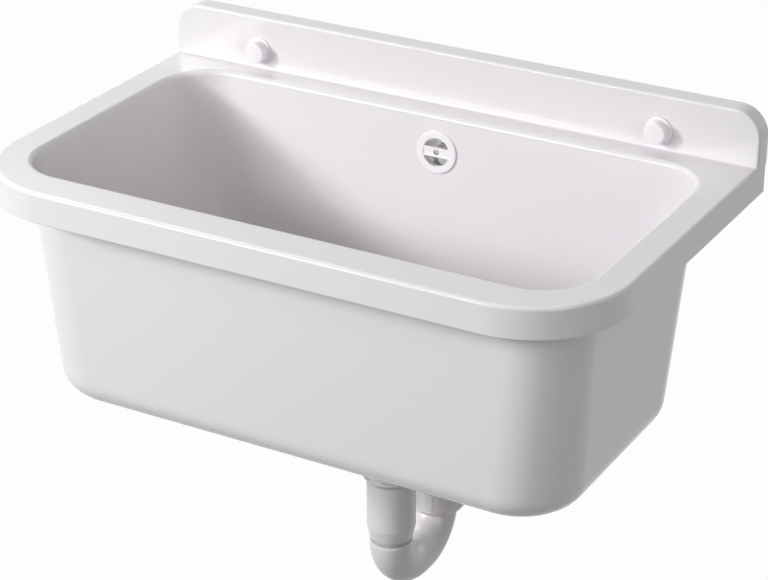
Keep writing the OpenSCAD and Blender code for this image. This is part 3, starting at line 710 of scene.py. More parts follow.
def splash_rings(inset, off):
    """Outlines of the backsplash, inset from its sides and top, at distances off the
    wall."""
    b = values("basin_sizes")
    inset, off = np.broadcast_arrays(*np.atleast_1d(inset, off))
    foot = rim_height() - 0.95 * b.wall + 0 * inset
    outlines = rounded_rings(b.width / 2 - inset, foot,
                             rim_height() + b.splash_h - inset,
                             np.full_like(inset, b.wall / 4), b.splash_corner_r - inset)
    rings = at_heights(outlines, -off)
    return rings[:, :, [0, 2, 1]]


def splash_block():
    """The backsplash as a solid: its front face, rounded edge and sides, to the wall."""
    b = values("basin_sizes")
    e = b.splash_edge_r
    rise, fall = edge_shares()
    front = splash_rings(np.array([e + 0.6 * MM]), b.splash_t)
    edge = splash_rings(e * fall, b.splash_t - e * rise)
    sides = splash_rings(0.0, mix(b.splash_t - e, 0.0, np.array([0.05, 0.5, 1.0])))
    return np.concatenate([front, edge, sides])


def splash_hollow():
    """The room behind the backsplash, open below, as a block that cuts it out."""
    b = values("basin_sizes")
    outline = rounded_rings(b.width / 2 - b.wall, rim_height() - 2 * b.wall,
                            rim_height() + b.splash_h - b.wall,
                            b.wall / 4, b.splash_corner_r - b.wall)
    ends = np.array([b.wall - b.splash_t, MM])
    return at_heights(np.repeat(outline, 2, 0), ends)[:, :, [0, 2, 1]]


def foot_fillet():
    """A hollow rounding along the backsplash's foot. Its section is a quarter arc, closed
    by three points sunk into the moulding; its radius fades out at both ends."""
    b = values("basin_sizes")
    run = b.width / 2 - b.splash_edge_r
    share_in = np.array([0.0, 0.1, 0.3, 0.6, 1.0])
    x = run - 6 * MM * share_in
    x = np.concatenate([-x, x[::-1]])
    fade = np.concatenate([share_in, share_in[::-1]])
    r = 0.2 * MM + (b.foot_r - 0.2 * MM) * np.sqrt(fade * (2 - fade))
    rise, fall = edge_shares()
    sunk = 0.4 * MM
    face = -b.splash_t
    rim = rim_height()
    y = np.concatenate([face - r[:, None] * fall,
                        np.full((len(x), 2), face + sunk), (face - r)[:, None]], 1)
    z = np.concatenate([rim + r[:, None] * rise, (rim + r)[:, None],
                        np.full((len(x), 2), rim - sunk)], 1)
    return np.stack([np.broadcast_to(x[:, None], y.shape), y, z], -1)


def box_rings(low, high):
    """Two rectangles, at the low and the high corner's height."""
    x0, y0, z0 = low
    x1, y1, z1 = high
    outline = np.array([[[x0, y0], [x1, y0], [x1, y1], [x0, y1]]])
    return at_heights(np.repeat(outline, 2, 0), [z0, z1])


def web_blocks():
    """The stiffening webs behind the backsplash and under the rim, as box rings."""
    b = values("basin_sizes")
    rim = rim_height()
    deep = b.splash_t - b.wall / 2
    blocks = []
    for i in range(BACK_WEBS):
        x = (i - (BACK_WEBS - 1) / 2) * b.screw_spacing / 6
        blocks.append(box_rings((x - b.web / 2, -deep, rim - b.wall / 2),
                                (x + b.web / 2, -b.wall, rim + b.splash_h - b.wall / 2)))
    web_h = b.skirt_h - 2 * b.wall
    out_front = b.ledge_front - b.wall
    out_side = b.ledge_side - b.wall
    low = rim - web_h - b.wall / 2
    for i in range(FRONT_WEBS):
        x = (i - (FRONT_WEBS - 1) / 2) * b.width / 6
        blocks.append(box_rings((x - b.web / 2, -b.depth + b.wall / 2, low),
                                (x + b.web / 2, -b.depth + b.wall / 2 + out_front,
                                 low + web_h)))
    for side in SIDES.values():
        middle = side * (b.width / 2 - b.wall / 2 - out_side / 2)
        for part in (1 / 3, 2 / 3):
            blocks.append(box_rings((middle - out_side / 2, -b.depth * part, low),
                                    (middle + out_side / 2, -b.depth * part + b.web,
                                     low + web_h)))
    return blocks


def screw_place(side):
    """Where a wall screw's axis meets the wall, at one side or the other."""
    return out_of_wall(side * values("basin_sizes").screw_spacing / 2, 0.0, 0.0)


def drain_axis():
    """The upright axis through the drain."""
    return moved_to(0.0, -values("basin_sizes").drain_y, 0.0)


def overflow_place():
    """Where the overflow's axis meets the back wall's face, and how the wall leans."""
    b = values("basin_sizes")
    out_back = b.ledge_back + b.splash_t - b.wall
    lean = math.atan((b.base_back - out_back) / b.bowl_h)
    y = -mix(out_back, b.base_back, b.overflow_depth / b.bowl_h) - b.wall
    return out_of_wall(0.0, y, rim_height() - b.overflow_depth, lean)


def drum(name, radius, low, high, steps=96):
    """A plain round cutter along local Z."""
    profile = np.array([[radius, low], [radius, high]])
    return surface(name, lathe_rings(profile, steps), caps=True)


def prism(name, outline, low, high):
    """A closed outline (n, 2) carried along local Z from low to high."""
    return surface(name, at_heights(np.repeat(outline[None], 2, 0), [low, high]), caps=True)


def slot_outline(start, end, width, corner=0.0):
    """A rectangle along local X with rounded corners."""
    half = width / 2
    return rounded([(start, -half, corner), (end, -half, corner),
                    (end, half, corner), (start, half, corner)])


def turned(piece, degrees):
    """Turns the piece's mesh about local Z."""
    c = math.cos(math.radians(degrees))
    s = math.sin(math.radians(degrees))
    matrix = np.eye(4)
    matrix[:2, :2] = ((c, -s), (s, c))
    return placed(piece, matrix)


def cross_slots(name, half_l, width, low, high):
    """Two slots across each other, as cutters."""
    outline = slot_outline(-half_l, half_l, width)
    return [prism(name, outline, low, high), turned(prism(name, outline, low, high), 90)]


def thread_bump(heights, steps, pitch, depth, start, end):
    """A helical groove between two heights: the radius falls by depth times
    (1 - cos(2 pi (z / pitch - turn))) / 2, where turn runs from 0 to 1 round the axis."""
    z = np.asarray(heights)[:, None]
    turn = np.arange(steps) / steps
    groove = (1 - np.cos(2 * math.pi * (z / pitch - turn))) / 2
    inside = np.clip(np.minimum(z - start, end - z) / pitch, 0.0, 1.0)
    return -depth * groove * inside


class SINK_OT_basin(bpy.types.Operator):
    """Builds the moulding: bowl, rim, backsplash, webs and bosses"""
    bl_idname = "sink.basin"
    bl_label = "Basin"

    def execute(self, context):
        b = values("basin_sizes")
        basin = surface("basin_shell", bowl_shell(), loop=True)
        overflow = drum("overflow", b.overflow_hole_r, -b.wall - 2 * MM, 2 * MM)
        combine(basin, [placed(overflow, overflow_place())], "DIFFERENCE")
        splash = surface("splash", splash_block(), caps=True)
        combine(splash, [surface("hollow", splash_hollow(), caps=True)], "DIFFERENCE")
        parts = [splash, surface("foot_fillet", foot_fillet(), caps=True)]
        for i, block in enumerate(web_blocks()):
            parts.append(surface(f"web_{i}", block, caps=True))
        for side in SIDES.values():
            boss = drum("boss", b.boss_r, 0.0, b.splash_t - b.wall / 2)
            parts.append(placed(boss, screw_place(side)))
        combine(basin, parts, "UNION")
        cutters = []
        for side in SIDES.values():
            hole = drum("hole", b.screw_hole_r, -MM, b.splash_t + MM, 48)
            cutters.append(placed(hole, screw_place(side)))
        combine(basin, cutters, "DIFFERENCE")
        join_body(basin, "sink", "basin")
        return {"FINISHED"}


# Caps and rosette

def cap_heights():
    """Distances from the wall along a wall screw: the flange's face, the cap's roof
    and the cap's outer face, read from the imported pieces."""
    cap_low, cap_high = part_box("screw_cap_left")
    return -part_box("cap_base_left")[1].y, -cap_high.y, -cap_low.y


class SINK_OT_caps(bpy.types.Operator):
    """Builds the snap caps and their bases"""
    bl_idname = "sink.caps"
    bl_label = "Screw caps"

    def execute(self, context):
        b = values("basin_sizes")
        f = values("fitting_sizes")
        wall_face, flange, face = cap_heights()
        roof = face - f.cap_t
        boss = flange + 1.4 * MM
        cap_line = [
            (0.0, roof, 0.0), (f.cap_r - f.cap_t, roof, 0.4 * MM),
            (f.cap_r - f.cap_t, flange, 0.2 * MM), (f.cap_r, flange, 0.3 * MM),
            (f.cap_r, face, 1.0 * MM), (0.0, face, 0.0)]
        base_line = [
            (b.screw_hole_r, wall_face, 0.0), (f.cap_base_r, wall_face, 0.2 * MM),
            (f.cap_base_r, flange, 0.8 * MM), (f.cap_boss_r, flange, 0.3 * MM),
            (f.cap_boss_r, boss, 0.3 * MM), (b.screw_hole_r, boss, 0.2 * MM)]
        for name, side in SIDES.items():
            place = screw_place(side)
            cap = placed(lathe(f"snap_cap_{name}", cap_line), place)
            base = placed(lathe(f"snap_base_{name}", base_line, loop=True), place)
            join_body(cap, f"cap_{name}", f"screw_cap_{name}")
            join_body(base, "sink", f"cap_base_{name}")
        return {"FINISHED"}


def bridge_rings():
    """The bridge's section, with raised edges and a groove between, carried along X."""
    f = values("fitting_sizes")
    half = f.bridge_w / 2
    groove = f.groove_w / 2
    low = f.bridge_front - f.groove_d
    line = rounded([
        (-half, -f.bridge_back, 0.4 * MM), (half, -f.bridge_back, 0.4 * MM),
        (half, f.bridge_front, 0.5 * MM), (groove, f.bridge_front, 0.3 * MM),
        (groove, low, 0.25 * MM), (-groove, low, 0.25 * MM),
        (-groove, f.bridge_front, 0.3 * MM), (-half, f.bridge_front, 0.5 * MM)])
    reach = f.rosette_hole_r + 0.5 * MM
    x = np.array([-reach, reach])[:, None]
    return np.stack([np.broadcast_to(x, (2, len(line))),
                     np.broadcast_to(line[:, 0], (2, len(line))),
                     np.broadcast_to(line[:, 1], (2, len(line)))], -1)


class SINK_OT_rosette(bpy.types.Operator):
    """Builds the overflow rosette with its grooved bridge"""
    bl_idname = "sink.rosette"
    bl_label = "Overflow rosette"

    def execute(self, context):
        f = values("fitting_sizes")
        b = values("basin_sizes")
        line = [
            (f.rosette_hole_r, -b.wall, 0.4 * MM), (f.rosette_collar_r, -b.wall, 0.4 * MM),
            (f.rosette_collar_r, 0.0, 0.0), (f.rosette_r, 0.0, 0.2 * MM),
            (f.rosette_r, f.rosette_t, 0.9 * MM), (f.rosette_hole_r, f.rosette_t, 0.4 * MM)]
        ring = lathe("rosette_ring", line, 128, loop=True)
        bridge = surface("bridge", bridge_rings(), caps=True)
        combine(ring, [bridge], "UNION")
        head = f.bridge_front - f.groove_d - f.counterbore_d
        recess = drum("recess", f.counterbore_r, head, f.rosette_t)
        way_r = 1.75 * MM
        through = drum("through", way_r, -f.bridge_back - MM, f.rosette_t)
        combine(ring, [recess, through], "DIFFERENCE")
        placed(ring, overflow_place())
        join_body(ring, "sink", "overflow_rosette")
        return {"FINISHED"}


# Trap

RIB_GROUPS = 6
RIBS = 7
GROUP_DEG = 31.0
RIB_TURNS = np.array([-2.2, -1.75, -1.35, -1.0, 0.0, 1.0, 1.35, 1.75, 2.2])
RIB_RISE = np.array([0.0, 0.12, 0.8, 1.0, 1.0, 1.0, 0.8, 0.12, 0.0])
FLAT_TURNS = np.array([18.6, 21.0, 25.0, 30.0, 35.0, 39.0, 41.4])


def union_nut_rings(turn_deg):
    """A union nut standing on z = 0. The radius tapers at the foot and at the crown,
    and a band between two heights is sunk by (1 - rise) rib heights, where rise is a
    flat-topped bump of the angle at each rib and 0 between the groups of ribs."""
    f = values("fitting_sizes")
    groups = turn_deg + 360.0 / RIB_GROUPS * np.arange(RIB_GROUPS)
    ribs = (groups[:, None] + GROUP_DEG * (np.arange(RIBS) / (RIBS - 1) - 0.5)).ravel()
    rib_turns = (ribs[:, None] + RIB_TURNS).ravel()
    flats = (groups[:, None] + FLAT_TURNS).ravel()
    turns = np.concatenate([rib_turns, flats])
    rises = np.concatenate([np.tile(RIB_RISE, len(ribs)), np.zeros(len(flats))])
    order = np.argsort(turns)
    turns = np.radians(turns[order])
    rises = rises[order]
    chamfer = 2 * f.rib_h
    soft = 0.25 * MM
    outer_z = np.concatenate([
        f.nut_taper * np.array([0.0, 0.04, 0.1, 0.5, 0.85, 0.95, 1.0, 1.05]),
        f.panel_low + soft * np.array([-1.0, -0.4, 0.4, 1.0, 2.0]),
        mix(f.panel_low, f.panel_high, np.array([0.3, 0.7])),
        f.panel_high + soft * np.array([-2.0, -1.0, -0.4, 0.4, 1.0]),
        f.nut_h - chamfer * np.array([2.0, 1.2, 1.0, 0.8, 0.3, 0.1, 0.0])])
    plain = np.interp(
        outer_z,
        [0.0, 0.1 * f.nut_taper, 0.9 * f.nut_taper, f.nut_taper, 1.1 * f.nut_taper,
         f.nut_h - 1.2 * chamfer, f.nut_h - chamfer, f.nut_h - 0.2 * chamfer, f.nut_h],
        [f.nut_opening_r + 0.2 * MM, f.nut_opening_r + 0.6 * MM, f.nut_r - 0.3 * MM,
         f.nut_r - 0.1 * MM, f.nut_r, f.nut_r, f.nut_r - 0.12 * MM,
         f.nut_r - 0.85 * chamfer, f.nut_r - 1.3 * chamfer])
    sunk = np.interp(outer_z, [f.panel_low - soft, f.panel_low + soft,
                               f.panel_high - soft, f.panel_high + soft], [0.0, 1.0, 1.0, 0.0])
    outer_r = plain[:, None] - f.rib_h * sunk[:, None] * (1 - rises[None, :])
    inner_z = np.array([f.nut_h, f.nut_shoulder, f.nut_shoulder, 0.0])
    inner_r = np.array([f.thread_r + 0.05 * MM, f.thread_r + 0.05 * MM,
                        f.nut_opening_r, f.nut_opening_r])
    inner = np.broadcast_to(inner_r[:, None], (4, len(turns)))
    radius = np.concatenate([outer_r, inner])
    return rings_round(radius, np.concatenate([outer_z, inner_z])[:, None], turns)


class SINK_OT_union_nuts(bpy.types.Operator):
    """Builds the two ribbed union nuts of the trap"""
    bl_idname = "sink.union_nuts"
    bl_label = "Union nuts"

    def execute(self, context):
        for node, turn_deg in (("inlet_nut", -5.0), ("outlet_nut", 2.0)):
            low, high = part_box(node)
            nut = surface(node + "_ribbed", union_nut_rings(turn_deg), loop=True,
                          sharp_deg=40.0)
            placed(nut, moved_to(0.0, (low.y + high.y) / 2, low.z))
            join_body(nut, node, node)
        return {"FINISHED"}


class SINK_OT_pipe_nuts(bpy.types.Operator):
    """Builds the two small nuts of the overflow pipe"""
    bl_idname = "sink.pipe_nuts"
    bl_label = "Overflow pipe nuts"

    def execute(self, context):
        f = values("fitting_sizes")
        height = 20.0 * MM
        shoulder = 3.0 * MM
        outer_r = 16.4 * MM
        thread_r = 14.05 * MM
        mouth_r = f.pipe_r + 0.3 * MM
        grip_h = 0.4 * MM
        steps = 144
        turn = angles_round(steps)
        wave = np.clip(np.cos(12 * turn) * 1.6, -1.0, 1.0)
        line = rounded([
            (mouth_r, 0.0, 0.4 * MM), (outer_r - grip_h, 0.0, 1.2 * MM),
            (outer_r - grip_h, height, 0.8 * MM), (thread_r, height, 0.3 * MM),
            (thread_r, shoulder, 0.0), (mouth_r, shoulder, 0.0)])
        grip = (line[:, 0] > outer_r - 1.5 * grip_h)[:, None]
        rings = lathe_rings(line, steps, grip * wave[None, :] * grip_h)
        for node, body_axis in (("overflow_upper_nut", "z"), ("overflow_lower_nut", "y")):
            low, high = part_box(node)
            nut = surface(node + "_gripped", rings, loop=True, sharp_deg=40.0)
            middle = (low + high) / 2
            if body_axis == "z":
                placed(nut, moved_to(0.0, middle.y, low.z))
            else:
                placed(nut, out_of_wall(0.0, high.y, middle.z))
            join_body(nut, node, node)
        return {"FINISHED"}


class SINK_OT_inlet_tube(bpy.types.Operator):
    """Builds the wide inlet tube with its tapered end"""
    bl_idname = "sink.inlet_tube"
    bl_label = "Inlet tube"

    def execute(self, context):
        f = values("fitting_sizes")
        low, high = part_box("inlet_tube")
        foot, head = low.z, high.z
        under_collar = head - f.collar_h
        mouth_r = 17.1 * MM
        bore_r = 19.1 * MM
        tube = lathe("inlet_tube_tapered", [
            (mouth_r, foot, 0.4 * MM), (f.tube_r, foot, 0.6 * MM),
            (f.inlet_r, foot + f.inlet_taper, 6.0 * MM), (f.inlet_r, under_collar, 0.3 * MM),
            (f.collar_r, under_collar, 0.4 * MM), (f.collar_r, head, 0.4 * MM),
            (bore_r, head, 0.4 * MM), (bore_r, foot + 18.0 * MM, 0.5 * MM),
            (mouth_r, foot + 17.0 * MM, 0.5 * MM)], loop=True, corner_steps=6)
        placed(tube, drain_axis())
        join_body(tube, "sink", "inlet_tube")
        return {"FINISHED"}


def straight(start, end, count):
    """Points of a straight run in the middle plane, between two (y, z) points."""
    return np.linspace((0.0, *start), (0.0, *end), count)


def lengths_along(path):
    """The length of the path up to each of its points."""
    step = np.linalg.norm(np.diff(path, axis=0), axis=1)
    return np.concatenate([[0.0], np.cumsum(step)])


def with_points(path, extra):
    """The path with more points at the given lengths along it, and all the lengths."""
    along = lengths_along(path)
    stations = np.sort(np.concatenate([along, extra]))
    finer = np.stack([np.interp(stations, along, path[:, i]) for i in range(3)], -1)
    return finer, stations


class SINK_OT_trap_bend(bpy.types.Operator):
    """Builds the bend with its spigot and its collar"""
    bl_idname = "sink.trap_bend"
    bl_label = "Trap bend"

    def execute(self, context):
        f = values("fitting_sizes")
        spigot_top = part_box("trap_bend")[1].z
        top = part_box("bend_seal")[0].z
        near = -values("basin_sizes").drain_y
        far = near + f.leg_spacing
        r = f.bend_r
        run = (near + r + 2.7 * MM, far - r - 2.7 * MM)
        path = np.concatenate([
            straight((near, spigot_top), (near, top), 8)[:-1],
            arc_path((0.0, near + r, top), r, 180.0, 270.0, 28),
            straight((run[0], top - r), (run[1], top - r), 2),
            arc_path((0.0, far - r, top), r, 270.0, 360.0, 28)])
        total = lengths_along(path)[-1]
        step_at = spigot_top - top
        collar_at = total - f.collar_h
        near_step = 0.25 * MM
        path, stations = with_points(path, [
            step_at - near_step, step_at + near_step, step_at + 1.2 * MM,
            collar_at - near_step, collar_at + near_step, total - 0.5 * MM])
        spigot_r = 17.0 * MM
        outer = np.interp(
            stations,
            [0.0, 0.6 * MM, step_at - near_step, step_at, step_at + 0.8 * MM,
             collar_at - 0.1 * MM, collar_at + 0.1 * MM, total - 0.5 * MM, total],
            [spigot_r - 0.4 * MM, spigot_r, spigot_r, f.tube_r - 0.5 * MM, f.tube_r,
             f.tube_r, f.collar_r, f.collar_r, f.collar_r - 0.4 * MM])
        inner = np.interp(stations, [step_at, step_at + 2.0 * MM],
                          [spigot_r - 2.0 * MM, f.bore_r])
        bend = surface("trap_bend_tube", pipe_rings(path, outer, inner), loop=True)
        join_body(bend, "trap", "trap_bend")
        return {"FINISHED"}


class SINK_OT_outlet_elbow(bpy.types.Operator):
    """Builds the elbow that carries the waste into the wall"""
    bl_idname = "sink.outlet_elbow"
    bl_label = "Outlet elbow"

    def execute(self, context):
        f = values("fitting_sizes")
        low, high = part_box("outlet_elbow")
        axis_y = f.leg_spacing - values("basin_sizes").drain_y
        level = high.z - f.tube_r
        r = f.elbow_r
        path = np.concatenate([
            straight((axis_y, low.z), (axis_y, level - r), 12)[:-1],
            arc_path((0.0, axis_y + r, level - r), r, 180.0, 90.0, 28),
            straight((axis_y + r, level), (high.y, level), 8)[1:]])
        total = lengths_along(path)[-1]
        thread = 16.1 * MM
        edge = 0.6 * MM
        taper = 2.0 * MM
        path, stations = with_points(path, [edge, thread - edge, thread + 0.05 * MM,
                                            total - taper])
        outer = np.interp(
            stations,
            [0.0, edge, thread - edge, thread, thread + 0.05 * MM, total - taper, total],
            [f.thread_r - edge, f.thread_r, f.thread_r, f.thread_r - edge, f.tube_r,
             f.tube_r, f.tube_r - 0.8 * MM])
        inner = np.full(len(stations), f.bore_r)
        elbow = surface("outlet_elbow_tube", pipe_rings(path, outer, inner), loop=True)
        join_body(elbow, "outlet", "outlet_elbow")
        return {"FINISHED"}


class SINK_OT_overflow_pipe(bpy.types.Operator):
    """Builds the overflow pipe down to the drain"""
    bl_idname = "sink.overflow_pipe"
    bl_label = "Overflow pipe"

    def execute(self, context):
        f = values("fitting_sizes")
        low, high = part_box("overflow_pipe")
        back = high.y - f.pipe_r
        level = low.z + f.pipe_r
        r = f.pipe_bend_r
        path = np.concatenate([
            straight((back, high.z), (back, level + r), 12)[:-1],
            arc_path((0.0, back - r, level + r), r, 0.0, -90.0, 24),
            straight((back - r, level), (low.y, level), 6)[1:]])
        outer = np.full(len(path), f.pipe_r)
        outer[[0, -1]] -= 0.5 * MM
        inner = np.full(len(path), f.pipe_r - f.pipe_t)
        pipe = surface("overflow_pipe_tube", pipe_rings(path, outer, inner, 56), loop=True)
        join_body(pipe, "sink", "overflow_pipe")
        return {"FINISHED"}


# Fixings, overflow cup and drain

class SINK_OT_wall_fixings(bpy.types.Operator):
    """Builds the wall plugs and the hexagon screws in them"""
    bl_idname = "sink.wall_fixings"
    bl_label = "Wall fixings"

    def execute(self, context):
        f = values("fitting_sizes")
        for name, side in SIDES.items():
            place = screw_place(side)
            plug = self.plug(f"plug_{name}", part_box(f"wall_plug_{name}"), f)
            screw = self.screw(f"screw_{name}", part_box(f"wall_screw_{name}"), f)
            join_body(placed(plug, place), "sink", f"wall_plug_{name}")
            join_body(placed(screw, place), "sink", f"wall_screw_{name}")
        return {"FINISHED"}

    def plug(self, name, box, f):
        """A split sleeve with shallow barbs."""
        end = -box[1].y
        bore = f.screw_r + 0.05 * MM
        r = f.plug_r
        barbs = []
        for from_end in (5.0, 9.5, 14.0, 18.5, 23.0):
            foot = end + from_end * MM
            barbs += [(r, foot, 0.0), (r - 0.4 * MM, foot + 0.1 * MM, 0.0),
                      (r, foot + 4.0 * MM, 0.0)]
        corners = [(bore, end, 0.2 * MM), (r - 0.5 * MM, end, 0.3 * MM),
                   (r, end + 2 * MM, 0.3 * MM), *barbs,
                   (r, 0.0, 0.3 * MM), (bore, 0.0, 0.2 * MM)]
        plug = lathe(name, corners, 72, loop=True, corner_steps=3)
        outline = slot_outline(-2 * r, 2 * r, r / 4)
        split_top = end * 0.36
        cutters = [turned(prism("split", outline, end - MM, split_top), angle)
                   for angle in (45, 135)]
        combine(plug, cutters, "DIFFERENCE")
        return plug

    def screw(self, name, box, f):
        """A hexagon screw: a point, a threaded shank and a head whose radius is the
        lesser of the hexagon's and the chamfer's cone."""
        steps = 48
        tip = -box[1].y
        top = -box[0].y
        under = top - f.head_h
        r = f.screw_r
        pitch = 3.2 * MM
        groove = 0.5 * MM
        shank_z = np.concatenate([[tip, tip + 1.6 * r], np.arange(tip + 2 * r, -MM, 0.4 * MM),
                                  [0.0, under]])
        shank_r = np.interp(shank_z, [tip, tip + 2 * r], [0.1 * MM, r])[:, None]
        shank = shank_r + thread_bump(shank_z, steps, pitch, groove, tip + r, 0.0)
        turn = angles_round(steps)
        flat = f.head_af / 2 / np.cos(np.mod(turn, math.pi / 3) - math.pi / 6)
        head_z = np.array([under, under + 0.2 * MM, top - 1.2 * MM, top - 0.8 * MM,
                           top - 0.4 * MM, top])
        cone = f.head_af / 2 + np.array([-0.2, 1.1, 1.1, 0.6, 0.2, -0.3]) * MM
        head = np.minimum(flat[None, :], cone[:, None])
        radius = np.concatenate([shank, head])
        rings = rings_round(radius, np.concatenate([shank_z, head_z])[:, None], turn)
        return surface(name, rings, caps=True)


def pipe_socket(place, foot, end):
    """Cutters for the socket that takes the overflow pipe and for the bore behind it,
    which ends at the given height along the place's Z."""
    f = values("fitting_sizes")
    depth = 14 * MM
    socket = drum("socket", f.pipe_r + 0.05 * MM, foot - MM, foot + depth)
    bore = drum("bore", f.pipe_r - f.pipe_t, foot, end)
    return [placed(socket, place), placed(bore, place)]


class SINK_OT_overflow_cup(bpy.types.Operator):
    """Builds the cup behind the overflow, with its gasket, insert and screw"""
    bl_idname = "sink.overflow_cup"
    bl_label = "Overflow cup"

    def execute(self, context):
        f = values("fitting_sizes")
        b = values("basin_sizes")
        place = overflow_place()
        gasket_back = -b.wall - 2 * MM
        gasket_hole_r = b.overflow_hole_r + 0.25 * MM
        insert_hole_r = 1.55 * MM
        insert_r = 2.5 * MM
        insert_l = 10 * MM
        way_r = 2.55 * MM
        flange_back = gasket_back - 3 * MM
        cup_back = -32 * MM
        cup_r = 18 * MM
        socket_r = f.pipe_r + 3 * MM
        cup = lathe("cup", [
            (0.0, cup_back, 0.0), (cup_r, cup_back, 2 * MM), (cup_r, flange_back, 0.8 * MM),
            (f.cup_flange_r, flange_back, 0.4 * MM), (f.cup_flange_r, gasket_back, 0.3 * MM),
            (0.0, gasket_back, 0.0)])
        placed(cup, place)
        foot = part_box("overflow_body")[0].z
        at_pipe = moved_to(0.0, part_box("overflow_pipe")[1].y - f.pipe_r, 0.0)
        axis_z = rim_height() - b.overflow_depth
        spigot = lathe("spigot", [
            (0.0, foot, 0.0), (socket_r, foot, 0.6 * MM), (socket_r, axis_z, 0.0),
            (0.0, axis_z, 0.0)])
        combine(cup, [placed(spigot, at_pipe)], "UNION")
        post_r = 4.5 * MM
        post_front = -10 * MM
        floor = cup_back + 2.5 * MM
        inside_r = cup_r - 2.5 * MM
        hollow = lathe("hollow", [
            (0.0, post_front, 0.0), (post_r, post_front, 0.4 * MM), (post_r, floor, 0.4 * MM),
            (inside_r, floor, 0.8 * MM), (inside_r, 0.0, 0.0), (0.0, 0.0, 0.0)])
        screw_way = drum("screw_way", way_r, floor, MM, 40)
        combine(cup, [placed(hollow, place), placed(screw_way, place),
                      *pipe_socket(at_pipe, foot, axis_z - post_r)], "DIFFERENCE")
        join_body(cup, "sink", "overflow_body")
        for node, bore_r, radius, back, front in (
                ("overflow_gasket", gasket_hole_r, f.cup_flange_r, gasket_back, -b.wall),
                ("overflow_insert", insert_hole_r, insert_r, post_front - insert_l,
                 post_front)):
            ring = washer(node + "_ring", bore_r, radius, back, front)
            join_body(placed(ring, place), "sink", node)
        self.screw(f)
        return {"FINISHED"}

    def screw(self, f):
        """A small cheese-head screw with a cross recess."""
        head_z = f.bridge_front - f.groove_d - f.counterbore_d
        head_top = head_z + 1.8 * MM
        head_r = f.counterbore_r - 0.05 * MM
        shank_r = 1.5 * MM
        end = head_z - 20 * MM
        screw = lathe("overflow_screw_turned", [
            (0.0, end, 0.0), (shank_r, end, 0.4 * MM), (shank_r, head_z, 0.0),
            (head_r, head_z, 0.2 * MM), (head_r, head_top, 0.6 * MM),
            (0.0, head_top, 0.0)], 64)
        slots = cross_slots("cross", head_r * 2 / 3, head_r / 3, head_top - 0.9 * MM,
                            head_top + MM)
        combine(screw, slots, "DIFFERENCE")
        join_body(placed(screw, overflow_place()), "sink", "overflow_screw")


class SINK_OT_strainer(bpy.types.Operator):
    """Builds the strainer and the screw that holds it"""
    bl_idname = "sink.strainer"
    bl_label = "Strainer"

    def execute(self, context):
        low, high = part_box("strainer")
        dimple = low.z
        top = high.z
        sheet = 1.5 * MM
        flange = 2 * MM
        rim_r = high.x
        well_r = 23.5 * MM
        dimple_r = 6.5 * MM
        hole_r = 3.25 * MM
        foot = top - 9.5 * MM
        axis = drain_axis()
        strainer = lathe("strainer_pressed", [
            (hole_r, dimple, 0.2 * MM), (dimple_r, dimple, 0.8 * MM),
            (dimple_r + sheet, foot, 0.6 * MM), (well_r, foot, 1.8 * MM),
            (well_r, top - flange, 0.4 * MM), (rim_r, top - flange, 0.3 * MM),
            (rim_r, top - flange / 2, 0.4 * MM), (rim_r - flange, top, 1.2 * MM),
            (well_r - sheet, top, 1.2 * MM), (well_r - sheet, foot + sheet, 0.8 * MM),
            (dimple_r + sheet, foot + sheet, 0.6 * MM),
            (dimple_r, dimple + sheet, 0.5 * MM), (hole_r, dimple + sheet, 0.2 * MM)],
            128, loop=True)
        outline = slot_outline(dimple_r + 3 * MM, well_r - 3 * MM, 3.2 * MM, 1.5 * MM)
        slots = [turned(prism("slot", outline, foot - MM, foot + sheet + MM), 45 * i)
                 for i in range(8)]
        combine(strainer, slots, "DIFFERENCE")
        join_body(placed(strainer, axis), "sink", "strainer")

        low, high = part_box("strainer_screw")
        head_r = high.x
        seat = high.z - 2.2 * MM
        shank_r = 3 * MM
        screw = lathe("strainer_screw_turned", [
            (0.0, low.z, 0.0), (shank_r, low.z, 0.6 * MM), (shank_r, seat, 0.0),
            (head_r, seat, 0.3 * MM), (head_r - 1.1 * MM, high.z, 1.2 * MM),
            (0.0, high.z, 0.0)], 80)
        slot = prism("slot", slot_outline(-2 * head_r, 2 * head_r, 1.5 * MM),
                     seat + 1.1 * MM, high.z + MM)
        combine(screw, [slot], "DIFFERENCE")
        join_body(placed(screw, axis), "sink", "strainer_screw")
        return {"FINISHED"}


